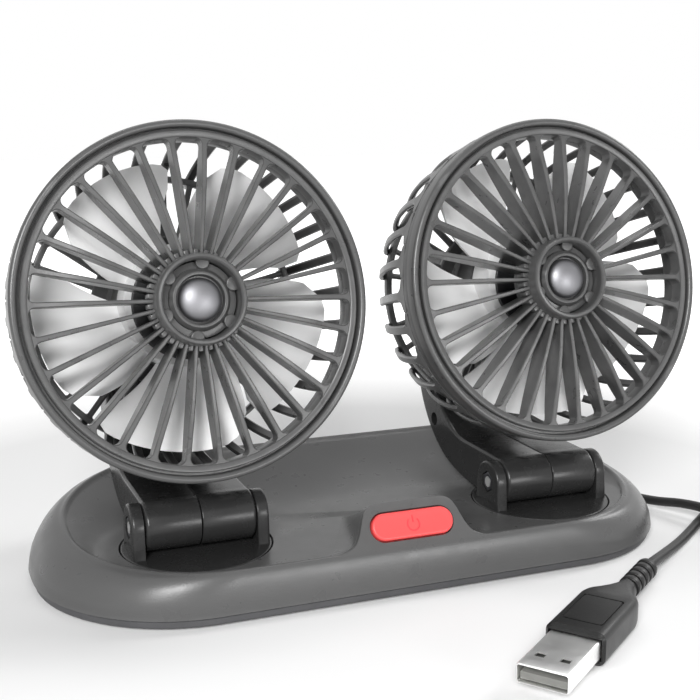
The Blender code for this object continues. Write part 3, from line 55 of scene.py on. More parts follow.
# Base
BASE_LENGTH = 0.1810
BASE_WIDTH = 0.0842
BASE_CORNER = 0.0394
BASE_BOTTOM = 0.0006
SEAM_Z = 0.0027
FLOOR_Z = 0.0126
CREST_FRONT_Z = 0.0130
CREST_BACK_Z = 0.0208
CREST_FRONT_INSET = 0.0019
CREST_END_INSET = 0.0085
CREST_BACK_INSET = 0.0030
CREST_WIDTH = 0.0016
CREST_LIFTS = ((0.18, 0.00022), (0.5, 0.00034), (0.8, 0.00018), (1.0, -0.0003))
CREST_POWER = 2.0
TRAY_HALF_LENGTH = 0.0760
TRAY_BACK_Y = 0.0050
TRAY_LIP = 0.0008
TRAY_POWER = 1.6
WALL = 0.0022
CREST_WALL = 0.0035
ROOF_Z = 0.0082
CORNER_STEPS = 20
SIDE_STEPS = (24, 3, 128, 3)
WALL_SHARES = ((0.0, 0.0), (0.35, 0.10), (0.70, 0.38), (0.92, 0.72), (1.0, 1.0))
FOOT_X = 0.0700
FOOT_Y = 0.0200
FOOT_RADIUS = 0.0050
POCKET_RADIUS = 0.0053
BOSS_RADIUS = 0.0032
WELL_RADIUS = 0.0027
SCREW_ROWS = ((0.0400, 0.0280, 0.0154), (0.0270, -0.0320, 0.0100))

# Block and button
BLOCK_FACE_Y = -0.0406
BLOCK_FACE_Z = 0.0125
BLOCK_SLOPE = 60.0
BLOCK_HALF_WIDTH = 0.0212
BLOCK_HEIGHT = 0.0120
BLOCK_X = 0.0007
BLOCK_REAR_Y = -0.0112
BLOCK_REAR_SHARE = 0.61
BLOCK_SHARES = (
    (0.0, 1.0), (0.30, 1.0), (0.46, 0.99), (0.56, 0.90), (0.62, 0.72), (0.70, 0.36), (0.78, 0.16),
    (0.90, 0.04), (1.0, 0.0), (1.1, 0.0),
)
BUTTON_LENGTH = 0.0226
BUTTON_WIDTH = 0.0070
BUTTON_PROUD = 0.0008
BLOCK_WALL = 0.0018
BLOCK_EASE = 0.0010
SYMBOL_RADIUS = 0.00165
SYMBOL_LINE = (0.00038, 0.00014)

# Turntable, hinge and arm
TURN_Y = -0.0167
DISC_RADIUS = 0.0193
DISC_THICKNESS = 0.0018
HUB_RADIUS = 0.0080
HINGE_Y = -0.0173
HINGE_Z = 0.0194
BARREL_RADIUS = 0.0064
BARREL_LENGTH = 0.0284
EAR_THICKNESS = 0.0031
EAR_HALF_WIDTH = 0.0060
PIN_RADIUS = 0.0015
PIN_HEAD = (0.0027, 0.0014)
NUT = (0.0029, 0.0015)
ARM_REACH = 0.0551
ARM_RISE = 0.0306
ARM_TOP_SHARES = (
    (0.024, 0.206), (0.260, 0.209), (0.432, 0.216), (0.532, 0.271), (0.635, 0.389), (0.717, 0.542),
    (0.766, 0.739), (0.775, 0.967),
)
ARM_UNDER_SHARES = (
    (0.024, -0.206), (0.260, -0.199), (0.450, -0.157), (0.626, -0.062), (0.789, 0.137), (0.906, 0.395),
    (0.971, 0.673), (1.0, 1.0),
)
PAD_HALF = 0.0085
PAD_BACK = 0.0480
PAD_THICKNESS = 0.0105
PAD_TOP = 0.0045
ARM_SEAM = 0.0003
ARM_SCREW_BACK = 0.0411
ARM_SCREW_UP = 0.0080
BRACKET_SCREW_X = 0.0080

# Head
RING_Y = -0.0227
RING_Z = 0.0764
RING_TILT = 12.5
BAND_BACK = 0.0076
FIN_FRONT_LINE = (
    (0.0100, 0.0031), (0.0200, 0.0030), (0.0278, 0.0024), (0.0330, 0.0015), (0.0370, 0.0008),
    (0.0400, 0.0004),
)
FIN_BACK_LINE = (
    (0.0100, -0.0040), (0.0200, -0.0041), (0.0278, -0.0041), (0.0335, -0.0040), (0.0375, -0.0037),
    (0.0400, -0.0034),
)
FIN_ROOT_WIDTH = 0.00085
FIN_TURN = 10.3
BEAD_RADIUS = 0.00095
HUB_FORWARD = 0.0045
CAP_FORWARD = 0.0028
DOME_RADIUS = 0.0053
DOME_RISE = 0.0025
TAB_COUNT = 6
TAB_RADIUS = 0.0017
TAB_PLACE = 0.0091
TAB_TURN = 22.0
CAGE_TURN = 2.0
SLAT_LINE = (
    (0.0430, 0.0060), (0.0430, 0.0110), (0.0426, 0.0160), (0.0418, 0.0210), (0.0407, 0.0260),
    (0.0392, 0.0310), (0.0376, 0.0352), (0.0364, 0.0378), (0.0356, 0.0388), (0.0349, 0.0382),
    (0.0348, 0.0362), (0.0350, 0.0345),
)
HOOP_RADIUS = 0.0355
HOOP_BACK = 0.0340
HOOP_DEPTH = 0.0022
SLAT_THICKNESS = 0.0013
RIB_THICKNESS = 0.0016
BRACKET_HALVES = (0.0105, 0.0080)
REAR_PLATE_RADIUS = 0.0200
REAR_PLATE_BACK = 0.0360
PLATE_FRONT = 0.0258
PLATE_RADIUS = 0.0150
MOTOR_RADIUS = 0.0125
ROTOR_CUP = 0.0155
ROTOR_FRONT = 0.0110
ROTOR_CUP_BACK = 0.0212
ROTOR_CAP = 0.0138
ROTOR_CAP_FRONT = 0.0098
BLADE_TIP = 0.0370
BLADE_ROOT = 0.0150
BLADE_HALF_ANGLE = 31.0
BLADE_SWEEP = 800.0
BLADE_MIDDLE = 0.0166
BLADE_ROOT_DEPTH = 0.0040
BLADE_DEPTH = 0.0070
BLADE_TURN = 48.5
BLADE_CORNER = 0.0060
BLADE_CAMBER = 0.0012

# Cord: diameter, length as far as the plug's body, where it leaves the gland, and the route of the solids
CORD_DIAMETER = 0.0028
CORD_EXIT = (0.0380, 0.0547, 0.0064)
CORD_STEP = 0.0026
CORD_LEVEL = 0.0016
COIL_X = 0.1270
COIL_Y = -0.0350
COIL_MIDDLE_RADIUS = 0.0168
COIL_PITCH = 0.00335
COIL_TURNS = 8
COIL_ENTRY = 180.0
COIL_EXIT = 125.0
COIL_POINTS = 36
LEAD_POINTS = (
    (0.0382, 0.0606, 0.0058), (0.0405, 0.0648, 0.0040), (0.0455, 0.0684, 0.0024), (0.0520, 0.0694, 0.0017),
    (0.0612, 0.0664, 0.0016), (0.0710, 0.0592, 0.0016), (0.0800, 0.0490, 0.0016), (0.0872, 0.0366, 0.0016),
    (0.0916, 0.0240, 0.0016), (0.0936, 0.0120, 0.0016), (0.0950, 0.0010, 0.0020), (0.0974, -0.0085, 0.0030),
    (0.1002, -0.0160, 0.0043), (0.1024, -0.0225, 0.0049),
)

# Plug
PLUG_PLACE = (0.0018, -0.1000, 0.0043)
PLUG_TURN = 37.0
SHELL_LENGTH = 0.0190
SHELL_SEAT = 0.0030
SHELL_WIDTH = 0.0120
SHELL_HEIGHT = 0.0045
SHELL_WALL = 0.0004
SHELL_HOLE = 0.0022
SHELL_HOLE_X = 0.0062
SHELL_HOLE_Y = 0.0029
PLUG_BODY_LENGTH = 0.0368
PLUG_HALF_WIDTH = 0.0071
PLUG_HALF_HEIGHT = 0.0040
PLUG_RING_SHARES = (
    (0.0, 0.91, 0.83, 0.35), (0.018, 1.0, 1.0, 0.50), (0.600, 1.0, 1.0, 0.50), (0.680, 0.93, 0.95, 0.60),
    (0.763, 0.75, 0.85, 0.70), (0.859, 0.55, 0.75, 0.75), (0.939, 0.41, 0.70, 0.70), (1.0, 0.354, 0.70, 0.70),
)
RIB_COUNT = 5
RIB_PITCH = 0.0033
RIB_RADIUS = 0.0028
RIB_NECK = 0.0021

# Finishes: the colour or its name among FanColours, the roughness, and what isn't as on other plastics
GRAIN_HEIGHT = 0.0002
PLASTICS = {
    "body_plastic": ("body", 0.30, {"spread": 0.03, "bump": 0.12, "specular": 0.35}),
    # The guard's light edge colour paints the highlight along the fins' front edges, with some rubbed wear.
    "guard_plastic": ("guard", 0.30, {"edge": (0.12, 0.12, 0.12), "edge_amount": 0.8, "bump": 0.08}),
    "dark_plastic": ("arm", 0.26, {"bump": 0.08, "specular": 0.28}),
    # Darker than the body: partly the cover's own plastic, partly painted shade of the band tucked under the
    # base.
    "cover_plastic": ((0.055, 0.055, 0.058), 0.50, {"bump": 0.16}),
    "pale_plastic": ((0.16, 0.16, 0.15), 0.40, {"spread": 0.02, "bump": 0.05}),
    "black_plastic": ((0.010, 0.010, 0.011), 0.35, {"bump": 0.06}),
    "blade_plastic": ("blade", 0.34, {"edge_amount": 0.2, "spread": 0.02, "bump": 0.04}),
    "button_red": (
        "button", 0.36, {"edge": (0.62, 0.05, 0.06), "edge_amount": 0.35, "spread": 0.02, "bump": 0.05}
    ),
    "symbol_red": ((0.52, 0.035, 0.045), 0.45, {"spread": 0.02, "bump": 0.04}),
    "rubber": ((0.018, 0.018, 0.018), 0.72, {"grain": 0.7, "bump": 0.30}),
    "cord_plastic": ((0.018, 0.018, 0.018), 0.42, {"spread": 0.04, "bump": 0.07, "specular": 0.25}),
    "plug_plastic": ((0.011, 0.011, 0.011), 0.34, {"bump": 0.14, "specular": 0.25}),
    "board_green": ((0.02, 0.16, 0.06), 0.35, {"bump": 0.05}),
}

# Metals: colour, roughness and spread of the colour
METALS = {
    "gloss_grey": ((0.20, 0.20, 0.21), 0.46, 0.02),
    "steel": ((0.93, 0.93, 0.92), 0.34, 0.01),
    "dark_steel": ((0.11, 0.11, 0.12), 0.34, 0.06),
}

# Stage: lamps by name, place, target, width, height and power, and where the floor begins to glow and how
LAMPS = (
    ("key_lamp", (-0.52, -0.88, 0.58), (0, 0, 0.05), 0.40, 0.40, 14.0),
    ("front_lamp", (0.34, -0.95, 0.14), (0, 0, 0.02), 0.40, 0.22, 3.0),
    ("right_lamp", (0.85, 0.05, 0.60), (0, 0, 0.03), 0.35, 0.35, 3.6),
    ("top_lamp", (0.10, 0.25, 1.0), (0, 0, 0.03), 0.90, 0.14, 3.0),
)
FLOOR_SHADE = 0.84
FLOOR_GLOW = (0.16, 0.36, 0.06, 1.0)
WORLD_LIGHT = 0.10
CAMERA_PLACE = (-0.12085, -0.2975, 0.1203)
CAMERA_TILT = 78.74
CAMERA_TURN = -21.86
CAMERA_LENS = 60.58


# Sizes and colours that a user may change


class FanSizes(bpy.types.PropertyGroup):
    """Sizes of the repeated details."""

    ring_radius: FloatProperty(
        name="Ring radius", description="Outer radius of each front ring", default=0.0440, unit="LENGTH"
    )
    opening_radius: FloatProperty(
        name="Opening radius", description="Radius at which the slots of a guard end", default=0.0396,
        unit="LENGTH",
    )
    collar_radius: FloatProperty(
        name="Collar radius", description="Outer radius of the collar round the hub cap", default=0.0111,
        unit="LENGTH",
    )
    fin_count: IntProperty(name="Fins", description="Fins of a guard, and slats of a cage", default=30, min=6)
    fin_width: FloatProperty(
        name="Fin width", description="Width of a fin's front edge near the ring", default=0.00137,
        unit="LENGTH",
    )
    slot_round: FloatProperty(
        name="Slot rounding", description="Radius in the outer corners of a slot", default=0.0017,
        unit="LENGTH",
    )
    slat_width: FloatProperty(
        name="Slat width", description="Width of a slat of the cage", default=0.0024, unit="LENGTH"
    )
    blade_count: IntProperty(name="Blades", description="Blades of each rotor", default=5, min=2)
    blade_thickness: FloatProperty(
        name="Blade thickness", description="Thickness of a blade", default=0.0009, unit="LENGTH"
    )


class FanColours(bpy.types.PropertyGroup):
    """Colours of the plastics."""

    body: FloatVectorProperty(
        name="Body", description="Satin plastic of the base", default=(0.082, 0.082, 0.082), subtype="COLOR"
    )
    guard: FloatVectorProperty(
        name="Guard", description="Plastic of guards and cages", default=(0.056, 0.056, 0.056),
        subtype="COLOR",
    )
    arm: FloatVectorProperty(
        name="Arm", description="Dark plastic of arms and turntables", default=(0.022, 0.022, 0.022),
        subtype="COLOR",
    )
    blade: FloatVectorProperty(
        name="Blade", description="Pale plastic of the blades", default=(0.80, 0.80, 0.80), subtype="COLOR"
    )
    button: FloatVectorProperty(
        name="Button", description="Red of the button", default=(0.85, 0.080, 0.080), subtype="COLOR"
    )


def sizes():
    return bpy.context.scene.fan_sizes


def colours():
    return bpy.context.scene.fan_colours


# Shapes


def mesh_from(shape, name):
    """Turns a bmesh into a mesh whose faces point outwards."""
    bmesh.ops.recalc_face_normals(shape, faces=shape.faces)
    mesh = bpy.data.meshes.new(name)
    shape.to_mesh(mesh)
    shape.free()
    return mesh


def lathe(profile, name, steps=96, closed=False):
    """A profile of (radius, height) points turned about Z."""
    shape = bmesh.new()
    rings = []
    for radius, height in profile:
        count = 1 if radius == 0 else steps
        ring = []
        for k in range(count):
            angle = math.tau * k / steps
            ring.append(shape.verts.new((radius * math.cos(angle), radius * math.sin(angle), height)))
        rings.append(ring)
    pairs = list(zip(rings, rings[1:]))
    if closed:
        pairs.append((rings[-1], rings[0]))
    for first, second in pairs:
        for k in range(steps):
            m = k + 1
            corners = (
                first[k % len(first)], first[m % len(first)], second[m % len(second)], second[k % len(second)]
            )
            face = list(dict.fromkeys(corners))
            if len(face) > 2:
                shape.faces.new(face)
    return mesh_from(shape, name)


def filleted(points, radius, steps=4, closed=False):
    """A line of points with its corners rounded."""
    result = []
    last = len(points) - 1
    for k, point in enumerate(points):
        here = Vector(point)
        if not closed and k in (0, last):
            result.append(tuple(here))
            continue
        before = Vector(points[k - 1]) - here
        after = Vector(points[(k + 1) % len(points)]) - here
        angle = before.angle(after)
        if angle > math.radians(172):
            result.append(tuple(here))
            continue
        reach = min(radius / math.tan(angle / 2), before.length * 0.45, after.length * 0.45)
        start = here + before.normalized() * reach
        end = here + after.normalized() * reach
        for j in range(steps + 1):
            t = j / steps
            result.append(tuple(start * (1 - t) ** 2 + here * (2 * t * (1 - t)) + end * t**2))
    return result


def loft(rings, name, looped=False):
    """A closed skin over rings of equal numbers of points, capped at its ends or joined end to end."""
    shape = bmesh.new()
    rows = [[shape.verts.new(point) for point in ring] for ring in rings]
    count = len(rows[0])
    pairs = list(zip(rows, rows[1:]))
    if looped:
        pairs.append((rows[-1], rows[0]))
    for lower, upper in pairs:
        for k in range(count):
            m = (k + 1) % count
            shape.faces.new((lower[k], lower[m], upper[m], upper[k]))
    if not looped:
        shape.faces.new(rows[0][::-1])
        shape.faces.new(rows[-1])
    bmesh.ops.remove_doubles(shape, verts=shape.verts, dist=2e-6)
    return mesh_from(shape, name)


def drawn_in(outline, amount):
    """A closed (x, y) outline moved inwards by an even amount."""
    area = sum(a[0] * b[1] - b[0] * a[1] for a, b in zip(outline, outline[1:] + outline[:1]))
    turn = 1 if area > 0 else -1
    result = []
    for k, point in enumerate(outline):
        before = Vector(outline[k - 1])
        after = Vector(outline[(k + 1) % len(outline)])
        along = (after - before).normalized()
        result.append((point[0] - along.y * amount * turn, point[1] + along.x * amount * turn))
    return result


def rod(radius, low, high, name, steps=32):
    """A plain cylinder about Z."""
    return lathe(((0, low), (radius, low), (radius, high), (0, high)), name, steps)


def rounded_slab(outline, low, high, low_round, high_round, name):
    """An outline in (Y, Z) drawn out along X from low to high, with its edges rounded."""
    angles = [math.radians(90 * k / 4) for k in range(5)]
    steps = [(1 - math.sin(angle), 1 - math.cos(angle)) for angle in angles]
    stations = [(low + low_round * run, low_round * inset) for run, inset in reversed(steps)]
    stations += [(high - high_round * run, high_round * inset) for run, inset in steps]
    rings = []
    for x, inset in stations:
        rings.append([(x, y, z) for y, z in (drawn_in(outline, inset) if inset else outline)])
    return loft(rings, name)


def rounded_outline(half_length, front, back, corner, corner_steps=CORNER_STEPS, side_steps=(1, 1, 1, 1)):
    """Points of a rounded rectangle, anticlockwise from above."""
    corner = min(corner, (back - front) / 2)
    centres = (
        (half_length - corner, back - corner, 0), (corner - half_length, back - corner, 90),
        (corner - half_length, front + corner, 180), (half_length - corner, front + corner, 270),
    )
    arcs = []
    for x, y, start in centres:
        angles = [math.radians(start + 90 * k / corner_steps) for k in range(corner_steps + 1)]
        arcs.append([(x + corner * math.cos(angle), y + corner * math.sin(angle)) for angle in angles])
    outline = []
    for k, arc in enumerate(arcs):
        outline += arc
        start = Vector(arc[-1])
        end = Vector(arcs[(k + 1) % 4][0])
        for j in range(1, side_steps[k]):
            outline.append(tuple(start.lerp(end, j / side_steps[k])))
    return outline


def box(low, high, name):
    (x0, y0, z0), (x1, y1, z1) = low, high
    outline = ((x0, y0), (x1, y0), (x1, y1), (x0, y1))
    return loft([[(x, y, z) for x, y in outline] for z in (z0, z1)], name)


def stadium_outline(length, width, steps=16):
    """A slot's outline with round ends."""
    half = length / 2 - width / 2
    points = []
    for centre, start in ((half, -90), (-half, 90)):
        for k in range(steps + 1):
            angle = math.radians(start + 180 * k / steps)
            points.append((centre + width / 2 * math.cos(angle), width / 2 * math.sin(angle)))
    return points


def moved(mesh, matrix):
    mesh.transform(matrix)
    if matrix.to_3x3().determinant() < 0:
        mesh.flip_normals()
    return mesh


def shifted(mesh, by):
    return moved(mesh, Matrix.Translation(by))


def rotation(degrees, axis):
    return Matrix.Rotation(math.radians(degrees), 4, axis)


def joined(name, *meshes):
    """Several shells as one mesh."""
    shape = bmesh.new()
    for mesh in meshes:
        shape.from_mesh(mesh)
        bpy.data.meshes.remove(mesh)
    result = bpy.data.meshes.new(name)
    shape.to_mesh(result)
    shape.free()
    return result


def helper_object(mesh):
    obj = bpy.data.objects.new(mesh.name, mesh)
    bpy.context.scene.collection.objects.link(obj)
    return obj


def baked(obj, name):
    """The mesh that an object's modifiers make. The object goes."""
    graph = bpy.context.evaluated_depsgraph_get()
    result = bpy.data.meshes.new_from_object(obj.evaluated_get(graph), depsgraph=graph)
    source = obj.data
    bpy.data.objects.remove(obj)
    bpy.data.meshes.remove(source)
    result.name = name
    return result


def combined(mesh, other, operation):
    """A Boolean of two meshes."""
    name = mesh.name
    obj = helper_object(mesh)
    second = helper_object(other)
    step = obj.modifiers.new("combine", "BOOLEAN")
    step.operation = operation
    step.object = second
    result = baked(obj, name)
    bpy.data.objects.remove(second)
    bpy.data.meshes.remove(other)
    return result


def cut(mesh, *others):
    for other in others:
        mesh = combined(mesh, other, "DIFFERENCE")
    return mesh


def united(mesh, *others):
    for other in others:
        mesh = combined(mesh, other, "UNION")
    return mesh


def bevelled(mesh, width, segments=2, angle=40.0):
    name = mesh.name
    obj = helper_object(mesh)
    step = obj.modifiers.new("bevel", "BEVEL")
    step.width = width
    step.segments = segments
    step.limit_method = "ANGLE"
    step.angle_limit = math.radians(angle)
    return baked(obj, name)


def piece(name, mesh, body, materials, nodes=(), place=None, sharp=32.0):
    """Puts a finished mesh into the scene, in its place, riding on its body and standing for its nodes."""
    if place is not None:
        moved(mesh, place)
    mesh.name = name
    if not isinstance(materials, (list, tuple)):
        materials = [materials]
    if len(mesh.materials) != len(materials) or None in list(mesh.materials):
        mesh.materials.clear()
        for material in materials:
            mesh.materials.append(material)
    mesh.shade_smooth()
    mesh.set_sharp_from_angle(angle=math.radians(sharp))
    obj = bpy.data.objects.new(name, mesh)
    bpy.context.scene.collection.objects.link(obj)
    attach(obj, body)
    if nodes:
        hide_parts(*nodes)
    return obj


def fan_piece(side, part, mesh, body, finish, place, suffix="fine"):
    """A piece of one fan, standing for the node of its name."""
    node = f"{side}_{part}"
    piece(f"{node}_{suffix}", mesh, f"{side}_{body}", finish, [node], place)


# Geometry Nodes that repeat a shape


def new_tree(name, inputs):
    """A geometry tree with its sockets, and its input and output nodes."""
    tree = bpy.data.node_groups.new(name, "GeometryNodeTree")
    tree.interface.new_socket("Geometry", in_out="OUTPUT", socket_type="NodeSocketGeometry")
    tree.interface.new_socket("Geometry", in_out="INPUT", socket_type="NodeSocketGeometry")
    for label, kind, default in inputs:
        socket = tree.interface.new_socket(label, in_out="INPUT", socket_type=kind)
        if default is not None:
            socket.default_value = default
    return tree, tree.nodes.new("NodeGroupInput"), tree.nodes.new("NodeGroupOutput")


def finish_tree(tree, start, end, instances):
    """Realizes the instances and gives them their material."""
    real = tree.nodes.new("GeometryNodeRealizeInstances")
    coat = tree.nodes.new("GeometryNodeSetMaterial")
    tree.links.new(instances.outputs["Instances"], real.inputs["Geometry"])
    tree.links.new(real.outputs["Geometry"], coat.inputs["Geometry"])
    tree.links.new(start.outputs["Material"], coat.inputs["Material"])
    tree.links.new(coat.outputs["Geometry"], end.inputs["Geometry"])
    return tree


def around_axis_tree():
    """Repeats a shape round Z at even angles."""
    known = bpy.data.node_groups.get("repeat_around_axis")
    if known:
        return known
    tree, start, end = new_tree(
        "repeat_around_axis",
        (
            ("Count", "NodeSocketInt", 30), ("First Angle", "NodeSocketFloat", 0.0),
            ("Material", "NodeSocketMaterial", None),
        ),
    )
    points = tree.nodes.new("GeometryNodePoints")
    number = tree.nodes.new("GeometryNodeInputIndex")
    pitch = tree.nodes.new("ShaderNodeMath")
    pitch.operation = "DIVIDE"
    pitch.inputs[0].default_value = math.tau
    turned = tree.nodes.new("ShaderNodeMath")
    turned.operation = "MULTIPLY_ADD"
    rotation = tree.nodes.new("ShaderNodeCombineXYZ")
    instances = tree.nodes.new("GeometryNodeInstanceOnPoints")
    tree.links.new(start.outputs["Count"], points.inputs["Count"])
    tree.links.new(start.outputs["Count"], pitch.inputs[1])
    tree.links.new(number.outputs["Index"], turned.inputs[0])
    tree.links.new(pitch.outputs["Value"], turned.inputs[1])
    tree.links.new(start.outputs["First Angle"], turned.inputs[2])
    tree.links.new(turned.outputs["Value"], rotation.inputs["Z"])
    tree.links.new(points.outputs[0], instances.inputs["Points"])
    tree.links.new(start.outputs["Geometry"], instances.inputs["Instance"])
    tree.links.new(rotation.outputs["Vector"], instances.inputs["Rotation"])
    return finish_tree(tree, start, end, instances)


def along_line_tree():
    """Repeats a shape at even steps along a line."""
    known = bpy.data.node_groups.get("repeat_along_line")
    if known:
        return known
    tree, start, end = new_tree(
        "repeat_along_line",
        (
            ("Count", "NodeSocketInt", 2), ("Start", "NodeSocketVector", None),
            ("Step", "NodeSocketVector", None),
            ("Material", "NodeSocketMaterial", None),
        ),
    )
    line = tree.nodes.new("GeometryNodeMeshLine")
    line.mode = "OFFSET"
    instances = tree.nodes.new("GeometryNodeInstanceOnPoints")
    tree.links.new(start.outputs["Count"], line.inputs["Count"])
    tree.links.new(start.outputs["Start"], line.inputs["Start Location"])
    tree.links.new(start.outputs["Step"], line.inputs["Offset"])
    tree.links.new(line.outputs["Mesh"], instances.inputs["Points"])
    tree.links.new(start.outputs["Geometry"], instances.inputs["Instance"])
    return finish_tree(tree, start, end, instances)


def repeated(mesh, tree, inputs):
    """The plain mesh that a tree makes of a shape."""
    name = mesh.name
    obj = helper_object(mesh)
    step = obj.modifiers.new("repeat", "NODES")
    step.node_group = tree
    for item in tree.interface.items_tree:
        if item.item_type == "SOCKET" and item.in_out == "INPUT" and item.name in inputs:
            step[item.identifier] = inputs[item.name]
    return baked(obj, name)


def around(mesh, count, first_angle, material):
    return repeated(
        mesh, around_axis_tree(), {"Count": count, "First Angle": first_angle, "Material": material}
    )


def along(mesh, count, start, step, material):
    return repeated(
        mesh, along_line_tree(), {"Count": count, "Start": start, "Step": step, "Material": material}
    )


# Materials


def new_group(name, inputs, outputs):
    group = bpy.data.node_groups.new(name, "ShaderNodeTree")
    for label, kind, default in inputs:
        socket = group.interface.new_socket(label, in_out="INPUT", socket_type=kind)
        socket.default_value = default
    for label, kind in outputs:
        group.interface.new_socket(label, in_out="OUTPUT", socket_type=kind)
    return group, group.nodes.new("NodeGroupInput"), group.nodes.new("NodeGroupOutput")


def noise(group, scale, detail, vector):
    node = group.nodes.new("ShaderNodeTexNoise")
    node.inputs["Scale"].default_value = scale
    node.inputs["Detail"].default_value = detail
    group.links.new(vector, node.inputs["Vector"])
    return node.outputs["Fac"]


def remapped(group, value, low, high, to_low, to_high):
    """A Map Range node. Its ends are numbers or sockets."""
    node = group.nodes.new("ShaderNodeMapRange")
    group.links.new(value, node.inputs["Value"])
    ends = {"From Min": low, "From Max": high, "To Min": to_low, "To Max": to_high}
    for label, end in ends.items():
        if isinstance(end, (int, float)):
            node.inputs[label].default_value = end
        else:
            group.links.new(end, node.inputs[label])
    return node.outputs["Result"]


def calculated(group, operation, first, second):
    node = group.nodes.new("ShaderNodeMath")
    node.operation = operation
    for k, value in enumerate((first, second)):
        if isinstance(value, (int, float)):
            node.inputs[k].default_value = value
        else:
            group.links.new(value, node.inputs[k])
    return node.outputs["Value"]


def moulded_surface_group():
    """Uneven colour, edges lightened partly as rubbed wear and partly as a painted highlight, uneven gloss of
    a moulded plastic, and the height of its grain.
    """
    known = bpy.data.node_groups.get("moulded_surface")
    if known:
        return known
    group, start, end = new_group(
        "moulded_surface",
        (
            ("Colour", "NodeSocketColor", (0.1, 0.1, 0.1, 1)),
            ("Edge Colour", "NodeSocketColor", (0.2, 0.2, 0.2, 1)),
            ("Edge Amount", "NodeSocketFloat", 0.5), ("Spread", "NodeSocketFloat", 0.06),
            ("Roughness", "NodeSocketFloat", 0.4), ("Grain Scale", "NodeSocketFloat", 1.0),
        ),
        (("Colour", "NodeSocketColor"), ("Roughness", "NodeSocketFloat"), ("Height", "NodeSocketFloat")),
    )
    place = group.nodes.new("ShaderNodeTexCoord")
    spot = place.outputs["Object"]
    clouds = noise(group, 55.0, 3.0, spot)
    smears = noise(group, 210.0, 4.0, spot)
    shade = calculated(group, "SUBTRACT", clouds, 0.5)
    shade = calculated(group, "MULTIPLY", shade, start.outputs["Spread"])
    shade = calculated(group, "MULTIPLY_ADD", shade, 4.0)
    shade.node.inputs[2].default_value = 1.0
    tint = group.nodes.new("ShaderNodeVectorMath")
    tint.operation = "SCALE"
    group.links.new(start.outputs["Colour"], tint.inputs[0])
    group.links.new(shade, tint.inputs["Scale"])
    geometry = group.nodes.new("ShaderNodeNewGeometry")
    # Edges found by pointiness, broken up by smears, take the edge colour: partly rubbed wear, partly a
    # painted highlight.
    edge = remapped(group, geometry.outputs["Pointiness"], 0.515, 0.60, 0.0, 1.0)
    rub = remapped(group, smears, 0.35, 0.70, 0.25, 1.0)
    edge = calculated(group, "MULTIPLY", edge, rub)
    edge = calculated(group, "MULTIPLY", edge, start.outputs["Edge Amount"])
    mix = group.nodes.new("ShaderNodeMix")
    mix.data_type = "RGBA"
    group.links.new(edge, mix.inputs["Factor"])
    group.links.new(tint.outputs["Vector"], mix.inputs[6])
    group.links.new(start.outputs["Edge Colour"], mix.inputs[7])
    group.links.new(mix.outputs[2], end.inputs["Colour"])
    uneven = remapped(group, smears, 0.3, 0.7, -0.035, 0.035)
    gloss = calculated(group, "ADD", start.outputs["Roughness"], uneven)
    group.links.new(gloss, end.inputs["Roughness"])
    scaled = group.nodes.new("ShaderNodeVectorMath")
    scaled.operation = "SCALE"
    group.links.new(spot, scaled.inputs[0])
    group.links.new(start.outputs["Grain Scale"], scaled.inputs["Scale"])
    grain = noise(group, 2600.0, 2.0, scaled.outputs["Vector"])
    group.links.new(grain, end.inputs["Height"])
    return group


def plastic(
    name, colour, roughness, edge=None, edge_amount=0.5, spread=0.05, grain=1.0, bump=0.10, specular=0.45
):
    """A moulded plastic with grain, uneven gloss, and edges lightened partly as rubbed wear and partly as a
    painted highlight.
    """
    label = f"{name}_finish"
    known = bpy.data.materials.get(label)
    if known:
        return known
    material = bpy.data.materials.new(label)
    material.use_nodes = True
    tree = material.node_tree
    shader = tree.nodes["Principled BSDF"]
    surface = tree.nodes.new("ShaderNodeGroup")
    surface.node_tree = moulded_surface_group()
    # By default the edges are painted lighter than the colour: rubbed wear and painted highlight.
    edge = edge or tuple(min(1.0, value * 1.7 + 0.01) for value in colour)
    values = {
        "Colour": (*colour, 1), "Edge Colour": (*edge, 1), "Edge Amount": edge_amount, "Spread": spread,
        "Roughness": roughness, "Grain Scale": grain,
    }
    for socket, value in values.items():
        surface.inputs[socket].default_value = value
    relief = tree.nodes.new("ShaderNodeBump")
    relief.inputs["Strength"].default_value = bump
    relief.inputs["Distance"].default_value = GRAIN_HEIGHT
    tree.links.new(surface.outputs["Colour"], shader.inputs["Base Color"])
    tree.links.new(surface.outputs["Roughness"], shader.inputs["Roughness"])
    tree.links.new(surface.outputs["Height"], relief.inputs["Height"])
    tree.links.new(relief.outputs["Normal"], shader.inputs["Normal"])
    shader.inputs["Specular IOR Level"].default_value = specular
    material.diffuse_color = (*colour, 1)
    return material


def metal(name, colour, roughness, spread):
    """A plated or turned metal with fine streaks."""
    material = plastic(name, colour, roughness, edge_amount=0.3, spread=spread, grain=0.6, bump=0.05)
    material.node_tree.nodes["Principled BSDF"].inputs["Metallic"].default_value = 1.0
    return material


def finishes():
    """Every finish of the fan by name. Each has its own material, beside the plain one of its slot."""
    result = {}
    for name, (colour, roughness, special) in PLASTICS.items():
        if isinstance(colour, str):
            colour = tuple(getattr(colours(), colour))
        result[name] = plastic(name, colour, roughness, **special)
    for name, (colour, roughness, spread) in METALS.items():
        result[name] = metal(name, colour, roughness, spread)
    return result


# Smooth lines


